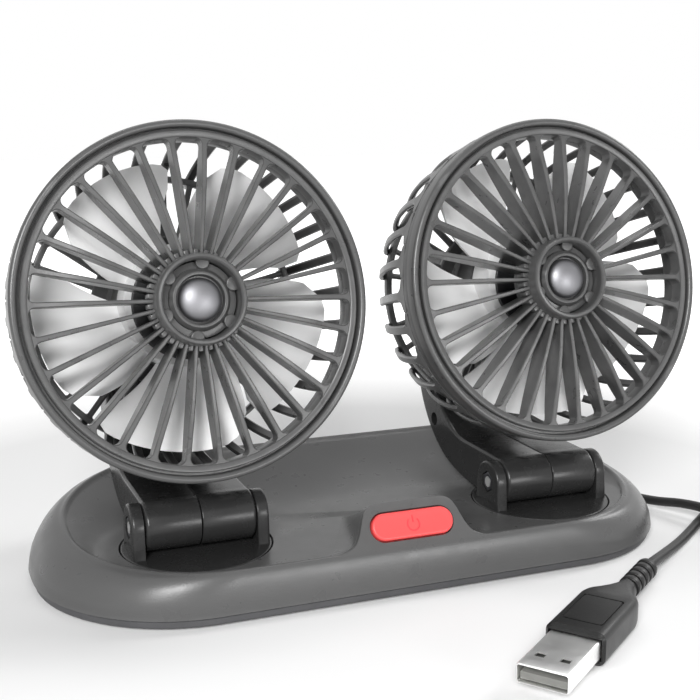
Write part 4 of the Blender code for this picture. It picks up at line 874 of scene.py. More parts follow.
def smooth_path(points, step):
    """Points a step apart along a smooth curve through the given points."""
    fineness = 24
    dense = []
    ends = [2 * points[0] - points[1]] + points + [2 * points[-1] - points[-2]]
    for before, start, end, after in zip(ends, ends[1:], ends[2:], ends[3:]):
        for k in range(fineness):
            t = k / fineness
            pull = (end - before) * t + (2 * before - 5 * start + 4 * end - after) * t**2
            dense.append(start + (pull + (3 * start - before - 3 * end + after) * t**3) / 2)
    dense.append(points[-1])
    reach = [0]
    for start, end in zip(dense, dense[1:]):
        reach.append(reach[-1] + (end - start).length)
    count = max(round(reach[-1] / step), 2)
    path = []
    k = 0
    for number in range(count):
        wanted = reach[-1] * number / count
        while reach[k + 1] < wanted:
            k += 1
        share = (wanted - reach[k]) / (reach[k + 1] - reach[k])
        path.append(dense[k].lerp(dense[k + 1], share))
    return path + [dense[-1]]


def smooth_line(points, step):
    """The same for a table of (x, y) pairs."""
    path = smooth_path([Vector((x, y, 0)) for x, y in points], step)
    return [(point.x, point.y) for point in path]


def read_off(line, x):
    """The height of a line of (x, y) points at x."""
    for (x0, y0), (x1, y1) in zip(line, line[1:]):
        if x <= x1:
            return y0 + (y1 - y0) * max(x - x0, 0) / (x1 - x0)
    return line[-1][1]


# Frames


def head_frame(side):
    """The head's frame: +Z out of its front, +Y up its face."""
    turn = rotation(90 - RING_TILT, "X")
    return Matrix.Translation((SIDES[side], RING_Y, RING_Z)) @ turn


def hinge_frame(side):
    return Matrix.Translation((SIDES[side], HINGE_Y, HINGE_Z))


def block_frame():
    slope = math.radians(BLOCK_SLOPE)
    up = BLOCK_HEIGHT * 0.53
    where = (BLOCK_X, BLOCK_FACE_Y + up * math.cos(slope), BLOCK_FACE_Z + up * math.sin(slope))
    return Matrix.Translation(where) @ Matrix.Rotation(slope, 4, "X")


def plug_frame():
    return Matrix.Translation(PLUG_PLACE) @ rotation(PLUG_TURN, "Z")


# Base


def base_outline(share, extra=0.0):
    half_length = BASE_LENGTH / 2 - CREST_END_INSET * share - extra
    front = -BASE_WIDTH / 2 + CREST_FRONT_INSET * share + extra
    back = BASE_WIDTH / 2 - CREST_BACK_INSET * share - extra
    corner = BASE_CORNER - CREST_FRONT_INSET * share - extra
    return rounded_outline(half_length, front, back, corner, CORNER_STEPS, SIDE_STEPS)


def crest_height(y):
    front = -BASE_WIDTH / 2 + CREST_FRONT_INSET
    back = BASE_WIDTH / 2 - CREST_BACK_INSET
    share = min(max((y - front) / (back - front), 0), 1)
    return CREST_FRONT_Z + (CREST_BACK_Z - CREST_FRONT_Z) * share**CREST_POWER


def floor_outline(grown=0.0):
    front = -BASE_WIDTH / 2 + CREST_FRONT_INSET + CREST_WIDTH + TRAY_LIP
    return rounded_outline(
        TRAY_HALF_LENGTH + grown, front, TRAY_BACK_Y + grown, BASE_CORNER, CORNER_STEPS, SIDE_STEPS
    )


def block_rises(outline):
    """How far the block rises at each point of an outline, as a share of its height."""
    line = smooth_line(BLOCK_SHARES, 0.02)
    rises = []
    for x, y in outline:
        level = read_off(line, abs(x - BLOCK_X) / BLOCK_HALF_WIDTH)
        rises.append(min(max(level, 0.0), 1.0) if y < -BASE_WIDTH / 4 else 0.0)
    return rises


def casing_mesh():
    """Wall, crest, the block that grows out of the front crest, and the tray behind them, in one skin."""
    low = SEAM_Z + GAP
    slope = math.radians(BLOCK_SLOPE)
    rings = []
    for level, share in smooth_line(WALL_SHARES, 0.085):
        outline = base_outline(min(share, 1.0))
        rings.append([(x, y, low + (crest_height(y) - low) * min(level, 1.0)) for x, y in outline])
    crest = base_outline(1.0)
    rises = block_rises(crest)
    rings[-1] = [(x, y, crest_height(y)) for x, y in crest]
    for share in (0.15, 0.4, 0.7, 0.94, 1.0):
        ring = []
        for (x, y), rise in zip(crest, rises):
            run = BLOCK_HEIGHT * rise * share
            ring.append((x, y + run * math.cos(slope), crest_height(y) + run * math.sin(slope)))
        rings.append(ring)
    top = rings[-1]
    lip_outline = base_outline(1.0, CREST_WIDTH)
    for share, lift in CREST_LIFTS:
        ring = []
        for (x, y, z), (crest_x, crest_y), (lip_x, lip_y), rise in zip(top, crest, lip_outline, rises):
            level = z + lift - BLOCK_EASE * rise
            ring.append((x + (lip_x - crest_x) * share, y + (lip_y - crest_y) * share, level))
        rings.append(ring)
    lip = rings[-1]
    floor = floor_outline()
    for number in range(1, 17):
        share = number / 16
        ring = []
        for (x, y, z), (floor_x, floor_y), rise in zip(lip, floor, rises):
            back = min(rise / 0.3, 1.0)
            back = back * back * (3 - 2 * back)
            end_x = floor_x + (BLOCK_X + (x - BLOCK_X) * BLOCK_REAR_SHARE - floor_x) * back
            end_y = floor_y + (BLOCK_REAR_Y - floor_y) * back
            power = TRAY_POWER + (1.0 - TRAY_POWER) * back
            height = (z - FLOOR_Z) * (1 - share) ** power
            ring.append((x + (end_x - x) * share, y + (end_y - y) * share, FLOOR_Z + height))
        rings.append(ring)
    return loft(rings, "base_shell")


def cavity_mesh():
    """The hollow under the casing's skin."""
    level, share = WALL_SHARES[1]
    low = SEAM_Z + GAP
    edge = base_outline(share, WALL)
    under = base_outline(1.0, WALL + GAP)
    rings = [
        [(x, y, low - 0.002) for x, y in edge],
        [(x, y, low + (crest_height(y) - low) * level) for x, y in edge],
        [(x, y, crest_height(y) - CREST_WALL) for x, y in under],
    ]
    last_y = under[-1][1]
    rings.append([(x, max(y, last_y), ROOF_Z) for x, y in floor_outline(WALL)])
    return loft(rings, "cavity")


def screw_places():
    for x, y, top in SCREW_ROWS:
        yield -x, y, top
        yield x, y, top


def make_base_shell():
    """The casing with its hollow, screw bosses, turntable recesses and button opening."""
    shell = cut(casing_mesh(), cavity_mesh())
    bosses = []
    for x, y, top in screw_places():
        boss = rod(BOSS_RADIUS, SEAM_Z + 0.0012, top, "boss")
        bosses.append(shifted(boss, (x, y, 0)))
    shell = united(shell, *bosses)
    for x in SIDES.values():
        ledge = FLOOR_Z - DISC_THICKNESS - GAP
        recess = DISC_RADIUS + GAP
        hub = HUB_RADIUS + GAP
        high = FLOOR_Z + 0.002
        profile = (
            (0, high), (recess + 0.0016, high), (recess, FLOOR_Z - 0.0002), (recess, ledge), (hub, ledge)
        )
        profile += ((hub, ROOF_Z - 0.002), (0, ROOF_Z - 0.002))
        recess_cut = lathe(profile, "turntable_recess", 96)
        shell = cut(shell, shifted(recess_cut, (x, TURN_Y, 0)))
    opening = []
    for height, grown in ((-0.010, 0.0006), (-0.0004, 0.0006), (0.0, 0.0010), (0.002, 0.0042)):
        outline = stadium_outline(BUTTON_LENGTH + grown, BUTTON_WIDTH + grown)
        opening.append([(x, y, height) for x, y in outline])
    shell = cut(shell, moved(loft(opening, "button_opening"), block_frame()))
    finish = finishes()["body_plastic"]
    piece("base_shell_skin", shell, "base", finish, ["base_shell"], sharp=50.0)


def flared_room(radius, depth, name, steps):
    """A round pocket to cut out, a little wider at its mouth."""
    profile = ((0, -0.001), (radius + 0.0003, -0.001), (radius, 0.0008), (radius, depth), (0, depth))
    return lathe(profile, name, steps)


def make_bottom_cover():
    """The cover with its chamfer and pockets, the feet and the screws."""
    finish = finishes()
    inset = 0.0008
    levels = (
        (BASE_BOTTOM, base_outline(0, inset + 0.0005)),
        (BASE_BOTTOM + 0.0002, base_outline(0, inset + 0.0002)),
        (BASE_BOTTOM + 0.0005, base_outline(0, inset)), (SEAM_Z - 0.0002, base_outline(0, inset)),
        (SEAM_Z, base_outline(0, inset + 0.0002)), (SEAM_Z, base_outline(WALL_SHARES[1][1], WALL + GAP)),
        (SEAM_Z + 0.0009, base_outline(WALL_SHARES[1][1], WALL + GAP)),
    )
    cover = loft([[(x, y, z) for x, y in outline] for z, outline in levels], "cover")
    for x, y, _ in screw_places():
        well = flared_room(WELL_RADIUS, 0.0020, "well", 32)
        cover = cut(cover, shifted(well, (x, y, 0)))
    for x in (-FOOT_X, FOOT_X):
        for y in (-FOOT_Y, FOOT_Y):
            pocket = flared_room(POCKET_RADIUS, 0.0018, "pocket", 48)
            cover = cut(cover, shifted(pocket, (x, y, 0)))
    # The cover's darker finish is partly painted shade of the band tucked under the base.
    piece("bottom_cover_skin", cover, "base", finish["cover_plastic"], ["bottom_cover"])
    feet = []
    for y in (-FOOT_Y, FOOT_Y):
        profile = filleted(((0, 0), (FOOT_RADIUS, 0), (FOOT_RADIUS, 0.0015), (0, 0.0015)), 0.0003)
        foot = lathe(profile, "foot", 48)
        feet.append(along(foot, 2, (-FOOT_X, y, 0), (2 * FOOT_X, 0, 0), finish["rubber"]))
    names = [f"rubber_foot_{number}" for number in range(1, 5)]
    piece("rubber_feet", joined("feet", *feet), "base", finish["rubber"], names)
    screws = []
    for x, y, _ in SCREW_ROWS:
        screw = moved(screw_mesh(0.0024, 0.0010, 0.0011, 0.0070), Matrix.Rotation(math.pi, 4, "X"))
        screws.append(along(screw, 2, (-x, y, BASE_BOTTOM + 0.0002), (2 * x, 0, 0), finish["steel"]))
    names = [f"base_screw_{number}" for number in range(1, 5)]
    piece("base_screws", joined("screws", *screws), "base", finish["steel"], names)


def screw_mesh(head, height, shank, reach):
    """A pan screw with a cross recess: its head's top at zero, pointing down."""
    profile = [(0, 0), (head * 0.72, -height * 0.04), (head * 0.93, -height * 0.28), (head, -height * 0.6)]
    profile += [(head, -height), (shank, -height), (shank, -height - reach * 0.9), (0, -height - reach)]
    screw = lathe(profile, "screw", 32)
    for turn in (0, 90):
        arm = head * 0.52
        thin = head * 0.11
        deep = -height * 0.62
        outline = ((-arm, height), (-arm, -height * 0.1), (-arm * 0.5, deep), (arm * 0.5, deep))
        outline += ((arm, -height * 0.1), (arm, height))
        blade = loft([[(x, side * thin, z) for x, z in outline] for side in (-1, 1)], "cross")
        screw = cut(screw, moved(blade, rotation(turn + 20, "Z")))
    return screw


def make_button():
    """The red button with its rounded rim, and the power symbol in it."""
    finish = finishes()
    low = -BLOCK_WALL - GAP - 0.0004
    rings = []
    levels = [(low, 0.0), (BUTTON_PROUD - 0.0006, 0.0)]
    for k in range(1, 7):
        angle = math.radians(90 * k / 6)
        levels.append((BUTTON_PROUD - 0.0006 + 0.0006 * math.sin(angle), 0.0006 * (1 - math.cos(angle))))
    levels.append((BUTTON_PROUD - 0.00006, 0.0011))
    levels.append((BUTTON_PROUD - 0.00010, 0.0020))
    for height, inset in levels:
        outline = stadium_outline(BUTTON_LENGTH - 2 * inset, BUTTON_WIDTH - 2 * inset, 20)
        rings.append([(x, y, height) for x, y in outline])
    flange = [
        [(x, y, z) for x, y in stadium_outline(BUTTON_LENGTH + 0.0016, BUTTON_WIDTH + 0.0016)]
        for z in (-BLOCK_WALL - GAP - 0.0008, -BLOCK_WALL - GAP)
    ]
    button = joined("button", loft(rings, "cap"), loft(flange, "flange"))
    piece("button_cap", button, "button", finish["button_red"], ["power_button"], block_frame())
    level = BUTTON_PROUD - 0.00012
    ring = []
    for k in range(37):
        angle = math.radians(90 + 42 + 276 * k / 36)
        ring.append(
            Vector((SYMBOL_RADIUS * math.cos(angle), SYMBOL_RADIUS * math.sin(angle) - 0.0002, level))
        )
    bar = [Vector((0, 0.0003, level)), Vector((0, 0.0012, level)), Vector((0, 0.0021, level))]
    symbol = joined("symbol", flat_stroke(ring, *SYMBOL_LINE, "ring"), flat_stroke(bar, *SYMBOL_LINE, "bar"))
    piece("power_symbol", symbol, "button", finish["symbol_red"], (), block_frame())


def flat_stroke(path, width, height, name):
    """A flat raised line along a level path."""
    rings = []
    for k, point in enumerate(path):
        ahead = (path[min(k + 1, len(path) - 1)] - path[max(k - 1, 0)]).normalized()
        across = Vector((-ahead.y, ahead.x, 0)) * width / 2
        up = Vector((0, 0, height))
        rings.append([point - across, point + across, point + across * 0.7 + up, point - across * 0.7 + up])
    return loft(rings, name)


# Turntables and hinges


def ear_outline():
    y = HINGE_Y - TURN_Y
    z = HINGE_Z - FLOOR_Z
    outline = [(y - EAR_HALF_WIDTH - 0.0004, -0.0006), (y + EAR_HALF_WIDTH + 0.0004, -0.0006)]
    for k in range(25):
        angle = math.pi * k / 24
        outline.append((y + EAR_HALF_WIDTH * math.cos(angle), z + EAR_HALF_WIDTH * math.sin(angle)))
    return outline


def along_x(mesh):
    return moved(mesh, rotation(90, "Y"))


def ear_outside():
    return BARREL_LENGTH / 2 + GAP + EAR_THICKNESS


def make_turntables():
    """The disc with its two ears, and the pin and nut through them."""
    finish = finishes()
    web = ROOF_Z - FLOOR_Z
    for side, x in SIDES.items():
        profile = filleted(((0, 0), (DISC_RADIUS, 0), (DISC_RADIUS, -DISC_THICKNESS)), 0.00035)
        profile += [(HUB_RADIUS, -DISC_THICKNESS), (HUB_RADIUS, web), (0.0050, web), (0.0050, web - 0.0028)]
        profile += [(0, web - 0.0028)]
        table = lathe(profile, "turntable", 96)
        outside = ear_outside()
        for way in (-1, 1):
            low, high = sorted((way * (outside - EAR_THICKNESS), way * outside))
            low_round, high_round = (0.0003, 0.0007) if way > 0 else (0.0007, 0.0003)
            table = united(table, rounded_slab(ear_outline(), low, high, low_round, high_round, "ear"))
        middle = Matrix.Translation((0, HINGE_Y - TURN_Y, HINGE_Z - FLOOR_Z))
        past = outside + 0.001
        nut_room = rod(NUT[0] + GAP, -past, 0.0020 - outside, "nut_room", 6)
        head_room = rod(PIN_HEAD[0] + GAP, outside - 0.0019, past, "head_room", 48)
        bore = rod(PIN_RADIUS + GAP, -past, past, "bore")
        table = cut(table, *[moved(along_x(room), middle) for room in (nut_room, head_room, bore)])
        place = Matrix.Translation((x, TURN_Y, FLOOR_Z))
        fan_piece(
            side, "turntable", table, "turntable", finish["dark_plastic"], place, "skin"
        )
        end = outside - 0.0002
        profile = [
            (0, end), (PIN_HEAD[0] * 0.8, end), (PIN_HEAD[0], end - 0.0004), (PIN_HEAD[0], end - PIN_HEAD[1])
        ]
        profile += [(PIN_RADIUS, end - PIN_HEAD[1]), (PIN_RADIUS, -end), (0, -end)]
        pin = along_x(lathe(profile, "pin", 48))
        place = hinge_frame(side)
        fan_piece(side, "hinge_pin", pin, "turntable", finish["steel"], place)
        profile = (
            (PIN_RADIUS + GAP, -end), (NUT[0], -end), (NUT[0], -end + NUT[1]),
            (PIN_RADIUS + GAP, -end + NUT[1]),
        )
        nut = bevelled(along_x(lathe(profile, "nut", 6, closed=True)), 0.00018)
        fan_piece(side, "hinge_nut", nut, "turntable", finish["dark_steel"], place)


# Arms


def head_to_side(up, back):
    tilt = math.radians(RING_TILT)
    y = RING_Y + up * math.sin(tilt) + back * math.cos(tilt) - HINGE_Y
    z = RING_Z + up * math.cos(tilt) - back * math.sin(tilt) - HINGE_Z
    return y, z


def arm_outline():
    """Barrel, gooseneck and pad in (Y, Z) about the hinge."""
    outline = []
    for k in range(33):
        angle = math.radians(270 - 180 * k / 32)
        outline.append((BARREL_RADIUS * math.cos(angle), BARREL_RADIUS * math.sin(angle)))
    front = PAD_BACK + GAP
    rear = front + PAD_THICKNESS
    top = [(y * ARM_REACH, z * ARM_RISE) for y, z in ARM_TOP_SHARES]
    outline += smooth_line(top, 0.0012)
    pad = [
        outline[-1], head_to_side(-PAD_HALF, front), head_to_side(PAD_HALF, front),
        head_to_side(PAD_HALF + PAD_TOP, front + PAD_TOP), head_to_side(PAD_HALF + PAD_TOP, rear - PAD_TOP),
        head_to_side(PAD_HALF, rear), (ARM_REACH, ARM_RISE),
    ]
    outline += filleted(pad, 0.0016)[1:-1]
    under = [(y * ARM_REACH, z * ARM_RISE) for y, z in reversed(ARM_UNDER_SHARES)]
    return outline + smooth_line(under, 0.0012)


def make_arms():
    """Both halves of each gooseneck, and its screws."""
    finish = finishes()
    for side in SIDES:
        place = hinge_frame(side)
        for half, way in (("left", -1), ("right", 1)):
            low, high = sorted((way * ARM_SEAM / 2, way * BARREL_LENGTH / 2))
            low_round, high_round = (0.0002, 0.0009) if way > 0 else (0.0009, 0.0002)
            arm = rounded_slab(arm_outline(), low, high, low_round, high_round, "arm")
            bore = rod(PIN_RADIUS + GAP, -BARREL_LENGTH, BARREL_LENGTH, "bore")
            seat = -BARREL_LENGTH / 2 + 0.0030
            profile = (
                (0, seat - 0.006), (0.0023, seat - 0.006), (0.0020, seat - 0.0026), (0.0020, seat + 0.0015)
            )
            profile += ((0.0013, seat + 0.0015), (0.0013, 0.0092), (0, 0.0092))
            across = along_x(lathe(profile, "across", 32))
            across = shifted(across, (0, ARM_SCREW_BACK, ARM_SCREW_UP))
            arm = cut(arm, along_x(bore), across)
            back = -(PAD_BACK + GAP + PAD_THICKNESS)
            profile = ((0, back - 0.003), (0.0029, back - 0.003), (0.0026, back), (0.0026, back + 0.0019))
            profile += ((0.0014, back + 0.0019), (0.0014, back + 0.02), (0, back + 0.02))
            into = shifted(lathe(profile, "into", 32), (way * BRACKET_SCREW_X, 0, 0))
            arm = cut(arm, moved(into, place.inverted() @ head_frame(side)))
            part = f"arm_{half}_half"
            fan_piece(side, part, arm, "head", finish["dark_plastic"], place, "skin")
            screw = moved(screw_mesh(0.0023, 0.0014, 0.0011, 0.0150), Matrix.Rotation(math.pi, 4, "X"))
            screw = shifted(screw, (way * BRACKET_SCREW_X, 0, back + 0.0002))
            part = f"bracket_screw_{1 if way < 0 else 2}"
            fan_piece(side, part, screw, "head", finish["dark_steel"], head_frame(side))
        screw = moved(screw_mesh(0.0017, 0.0012, 0.0010, 0.0150), rotation(-90, "Y"))
        where = Matrix.Translation((-BARREL_LENGTH / 2 + 0.0030, ARM_SCREW_BACK, ARM_SCREW_UP))
        fan_piece(side, "arm_screw", screw, "head", finish["dark_steel"], place @ where)


# Guard, cap and cage


def fin_mesh():
    """One fin along +X: domed front edge, deep in its middle, with rounded corners where the slots end."""
    size = sizes()
    opening = size.opening_radius
    root = size.collar_radius - 0.0004
    pitch = math.tau / size.fin_count
    neck = opening - size.slot_round
    front_line = smooth_line(FIN_FRONT_LINE, 0.0015)
    back_line = smooth_line(FIN_BACK_LINE, 0.0015)
    stations = []
    for k in range(15):
        share = k / 14
        stations.append(
            (root + (neck - root) * share, FIN_ROOT_WIDTH + (size.fin_width - FIN_ROOT_WIDTH) * share)
        )
    for k in range(1, 7):
        angle = math.radians(90 * k / 6)
        radius = neck + size.slot_round * math.sin(angle)
        width = size.fin_width + 2 * size.slot_round * (1 - math.cos(angle))
        stations.append((radius, min(width, opening * pitch)))
    stations.append((opening + 0.0007, stations[-1][1]))
    rings = []
    for radius, width in stations:
        half = width / 2
        front = read_off(front_line, radius)
        back = read_off(back_line, radius)
        edge = min(0.00026, half * 0.5)
        side = half - 0.0001
        points = (
            (half - edge, front), (half, front - edge), (side, back), (-side, back), (-half, front - edge),
            (edge - half, front),
        )
        rings.append([(radius, y, z) for y, z in points])
    return loft(rings, "fin")


def tooth_mesh():
    """One tooth of the collar, between two fins."""
    radius = sizes().collar_radius
    return bevelled(
        box((radius - 0.0006, -0.0006, -0.0010), (radius + 0.0012, 0.0006, 0.0024), "tooth"), 0.0002
    )


def make_guards():
    """The front ring with its groove, the thirty fins, and the collar with its teeth."""
    finish = finishes()["guard_plastic"]
    size = sizes()
    first = math.radians(FIN_TURN)
    for side in SIDES:
        outer = size.ring_radius
        opening = size.opening_radius
        groove = outer - 0.0026
        ring = [
            (opening, 0.0003), (opening + 0.0002, 0.0007), (opening + 0.0006, 0.0009),
            (groove - 0.0003, 0.0009),
            (groove, 0.0006), (groove + 0.0001, -0.0008), (groove + 0.0006, -0.0008),
            (groove + 0.0007, 0.0004),
        ]
        for k in range(9):
            angle = math.radians(160 - 160 * k / 8)
            ring.append((outer - BEAD_RADIUS * (1 - math.cos(angle)), 0.0003 + 0.0009 * math.sin(angle)))
        ring += [(outer, -0.0028), (outer - 0.0002, -0.0030), (opening, -0.0030)]
        radius = size.collar_radius
        inner = radius - 0.0016
        collar = [
            (inner, 0.0016), (inner + 0.0002, 0.0022), (inner + 0.0006, 0.0026), (inner + 0.0011, 0.0025),
            (radius - 0.0001, 0.0020), (radius, 0.0013), (radius, -0.0092), (inner - 0.0012, -0.0092),
            (inner - 0.0012, -0.0050), (inner, -0.0048),
        ]
        collar = [(x, z + HUB_FORWARD) for x, z in collar]
        between = first + math.pi / size.fin_count
        guard = joined(
            "guard", lathe(ring, "ring", 180, closed=True), lathe(collar, "collar", 96, closed=True),
            around(fin_mesh(), size.fin_count, first, finish),
            around(tooth_mesh(), size.fin_count, between, finish),
        )
        fan_piece(side, "guard", guard, "head", finish, head_frame(side))


def make_hub_caps():
    """The satin dome, the bevelled ring round it and six half round tabs under the collar."""
    finish = finishes()
    forward = Matrix.Translation((0, 0, CAP_FORWARD))
    for side in SIDES:
        dome = []
        for k in range(11):
            angle = math.radians(90 - 82 * k / 10)
            dome.append((DOME_RADIUS * math.cos(angle) if k else 0, 0.0010 + DOME_RISE * math.sin(angle)))
        dome += [(DOME_RADIUS, 0.0009), (DOME_RADIUS, -0.0010), (0, -0.0010)]
        rim = sizes().collar_radius - 0.0019
        body = filleted(
            ((0.0040, 0.0003), (0.0058, 0.0003), (0.0060, 0.0019), (0.0067, 0.0019), (0.0075, 0.0010),
             (0.0075, 0.0001), (rim, 0.0001), (rim, -0.0045), (0.0040, -0.0045)),
            0.0002, 3, closed=True,
        )
        profile = filleted(((0, 0.0013), (TAB_RADIUS, 0.0013), (TAB_RADIUS, -0.0006), (0, -0.0006)), 0.0003)
        tab = shifted(lathe(profile, "tab", 32), (TAB_PLACE, 0, 0))
        tabs = around(tab, TAB_COUNT, math.radians(TAB_TURN), finish["guard_plastic"])
        ring = joined("cap_ring", lathe(body, "cap_body", 96, closed=True), tabs)
        place = head_frame(side) @ forward
        fan_piece(side, "hub_cap", ring, "head", finish["guard_plastic"], place, "ring")
        dome = lathe(dome, "dome", 96)
        fan_piece(side, "hub_cap", dome, "head", finish["gloss_grey"], place, "dome")


def bar_mesh(path, thickness, name):
    """A flat bar along a path of (radius, back, width) points in X and Z, with rounded corners."""
    rings = []
    for k, (radius, back, width) in enumerate(path):
        before = Vector(path[max(k - 1, 0)][:2])
        after = Vector(path[min(k + 1, len(path) - 1)][:2])
        along_bar = (after - before).normalized()
        normal = Vector((-along_bar.y, along_bar.x))
        half = width / 2
        edge = thickness * 0.3
        ring = []
        for across, out in (
            (half - edge, 0.5), (half, 0.5 - 0.3), (half, 0.3 - 0.5), (half - edge, -0.5),
            (edge - half, -0.5), (-half, 0.3 - 0.5), (-half, 0.5 - 0.3), (edge - half, 0.5),
        ):
            offset = normal * (-out * thickness)
            ring.append((radius + offset.x, across, -(back + offset.y)))
        rings.append(ring)
    return loft(rings, name)


def slat_mesh():
    """One slat: it flares out of the band, arches back and in, and curls round behind the hoop."""
    size = sizes()
    width = size.slat_width
    outer = size.ring_radius
    flare = (outer * math.tau / size.fin_count - width) / 2
    line = smooth_line(SLAT_LINE, 0.0012)
    path = []
    for radius, back in line:
        reach = back - BAND_BACK
        wide = width
        if reach < flare:
            share = min(max(1 - reach / flare, 0.0), 1.0)
            wide = width + 2 * flare * (1 - math.sqrt(1 - share**2))
        if back > REAR_PLATE_BACK and radius < HOOP_RADIUS + 0.0007:
            wide = width * 0.85
        path.append((radius, back, wide))
    return bar_mesh(path, SLAT_THICKNESS, "slat")


def make_baskets():
    """The cage behind each guard: band, slats, hoop, rear ribs, motor cup and bracket."""
    finish = finishes()["guard_plastic"]
    size = sizes()
    band_outer = size.ring_radius - 0.0004
    first = math.radians(CAGE_TURN)
    for side in SIDES:
        inner = size.opening_radius + 0.0002
        band = filleted(
            ((inner, -0.0033), (band_outer, -0.0033), (band_outer, -BAND_BACK), (inner + 0.0022, -BAND_BACK),
             (inner, -BAND_BACK + 0.0004)),
            0.0003, 3, closed=True,
        )
        hoop = filleted(
            ((HOOP_RADIUS - 0.0009, -HOOP_BACK), (HOOP_RADIUS + 0.0008, -HOOP_BACK),
             (HOOP_RADIUS + 0.0008, -HOOP_BACK - HOOP_DEPTH),
             (HOOP_RADIUS - 0.0009, -HOOP_BACK - HOOP_DEPTH)),
            0.0004, 3, closed=True,
        )
        middle = HOOP_BACK + HOOP_DEPTH / 2
        rib = [
            (REAR_PLATE_RADIUS - 0.0010, middle, 0.0021), (0.0250, middle, 0.0018), (0.0300, middle, 0.0015),
            (HOOP_RADIUS - 0.0012, middle, 0.0015), (HOOP_RADIUS, middle, 0.0022),
        ]
        ribs = around(bar_mesh(rib, RIB_THICKNESS, "rib"), size.fin_count, first, finish)
        rear = REAR_PLATE_BACK
        seat = MOTOR_RADIUS + GAP
        plate = [
            (0, -PLATE_FRONT), (seat, -PLATE_FRONT), (seat, 0.0024 - PLATE_FRONT),
            (PLATE_RADIUS - 0.0003, 0.0024 - PLATE_FRONT), (PLATE_RADIUS, 0.0021 - PLATE_FRONT),
            (PLATE_RADIUS, -0.0325), (PLATE_RADIUS + 0.0012, -0.0338), (REAR_PLATE_RADIUS - 0.0004, -0.0338),
            (REAR_PLATE_RADIUS, -0.0342), (REAR_PLATE_RADIUS, 0.0006 - rear),
            (REAR_PLATE_RADIUS - 0.0006, -rear),
            (0, -rear),
        ]
        wide, high = BRACKET_HALVES
        bracket = box((-wide, -high, -PAD_BACK), (wide, high, 0.0006 - rear), "bracket")
        basket = joined(
            "basket", lathe(band, "band", 180, closed=True),
            around(slat_mesh(), size.fin_count, first, finish),
            lathe(hoop, "hoop", 150, closed=True), ribs, lathe(plate, "plate", 96),
            bevelled(bracket, 0.0012, 3),
        )
        fan_piece(side, "basket", basket, "head", finish, head_frame(side))


# Rotor


def blade_mesh():
    """One blade about +X: pitched and swept, as wide as its share of the turn allows, with round corners."""
    radius_steps = chord_steps = 16
    half_angle = math.radians(BLADE_HALF_ANGLE)
    thickness = sizes().blade_thickness
    layers = []
    for lift in (thickness / 2, -thickness / 2):
        rows = []
        for i in range(radius_steps + 1):
            share = i / radius_steps
            row = []
            for j in range(chord_steps + 1):
                chord = 2 * j / chord_steps - 1
                corner = max(abs(chord) - 0.66, 0) / 0.34
                tip = BLADE_TIP - BLADE_CORNER * (1 - math.sqrt(max(1 - corner**2, 0)))
                root = BLADE_ROOT - 0.0003
                radius = root + (tip - root) * share
                depth = BLADE_ROOT_DEPTH + (BLADE_DEPTH - BLADE_ROOT_DEPTH) * share
                camber = BLADE_CAMBER * (1 - chord**2) * min(share * 4, 1)
                angle = half_angle * chord + math.radians(BLADE_SWEEP * (0.0300 - radius))
                height = -BLADE_MIDDLE + depth * chord + camber
                row.append((radius * math.cos(angle), radius * math.sin(angle), height + lift))
            rows.append(row)
        layers.append(rows)
    shape = bmesh.new()
    top, under = [[[shape.verts.new(point) for point in row] for row in rows] for rows in layers]
    for i in range(radius_steps):
        for j in range(chord_steps):
            shape.faces.new((top[i][j], top[i + 1][j], top[i + 1][j + 1], top[i][j + 1]))
            shape.faces.new((under[i][j], under[i][j + 1], under[i + 1][j + 1], under[i + 1][j]))
    edge = [(i, 0) for i in range(radius_steps)] + [(radius_steps, j) for j in range(chord_steps)]
    edge += [(i, chord_steps) for i in range(radius_steps, 0, -1)]
    edge += [(0, j) for j in range(chord_steps, 0, -1)]
    for (i, j), (m, n) in zip(edge, edge[1:] + edge[:1]):
        shape.faces.new((top[i][j], under[i][j], under[m][n], top[m][n]))
    return mesh_from(shape, "blade")


def make_rotors():
    """Blades on their cup, and the black cap in front of it."""
    finish = finishes()
    size = sizes()
    for side in SIDES:
        inner = ROTOR_CUP - 0.0014
        cup = filleted(
            ((0.0013, -ROTOR_FRONT), (ROTOR_CUP, -ROTOR_FRONT), (ROTOR_CUP, -ROTOR_CUP_BACK),
             (inner, -ROTOR_CUP_BACK), (inner, -ROTOR_FRONT - 0.0016), (0.0013, -ROTOR_FRONT - 0.0016)),
            0.0004, 3, closed=True,
        )
        blades = around(blade_mesh(), size.blade_count, math.radians(BLADE_TURN), finish["blade_plastic"])
        rotor = joined("rotor", lathe(cup, "cup", 96, closed=True), blades)
        place = head_frame(side)
        fan_piece(side, "rotor", rotor, "rotor", finish["blade_plastic"], place)
        front = -ROTOR_CAP_FRONT
        profile = ((0, front), (ROTOR_CAP, front), (ROTOR_CAP, front - 0.0009), (0, front - 0.0009))
        cap = lathe(filleted(profile, 0.0004), "cap", 96)
        fan_piece(side, "rotor_cap", cap, "rotor", finish["black_plastic"], place)


# Cord and plug


def coil_heading(point):
    out = Vector((point.x - COIL_X, point.y - COIL_Y, 0)).normalized()
    return Vector((-out.y, out.x, 0)) * CORD_DIAMETER


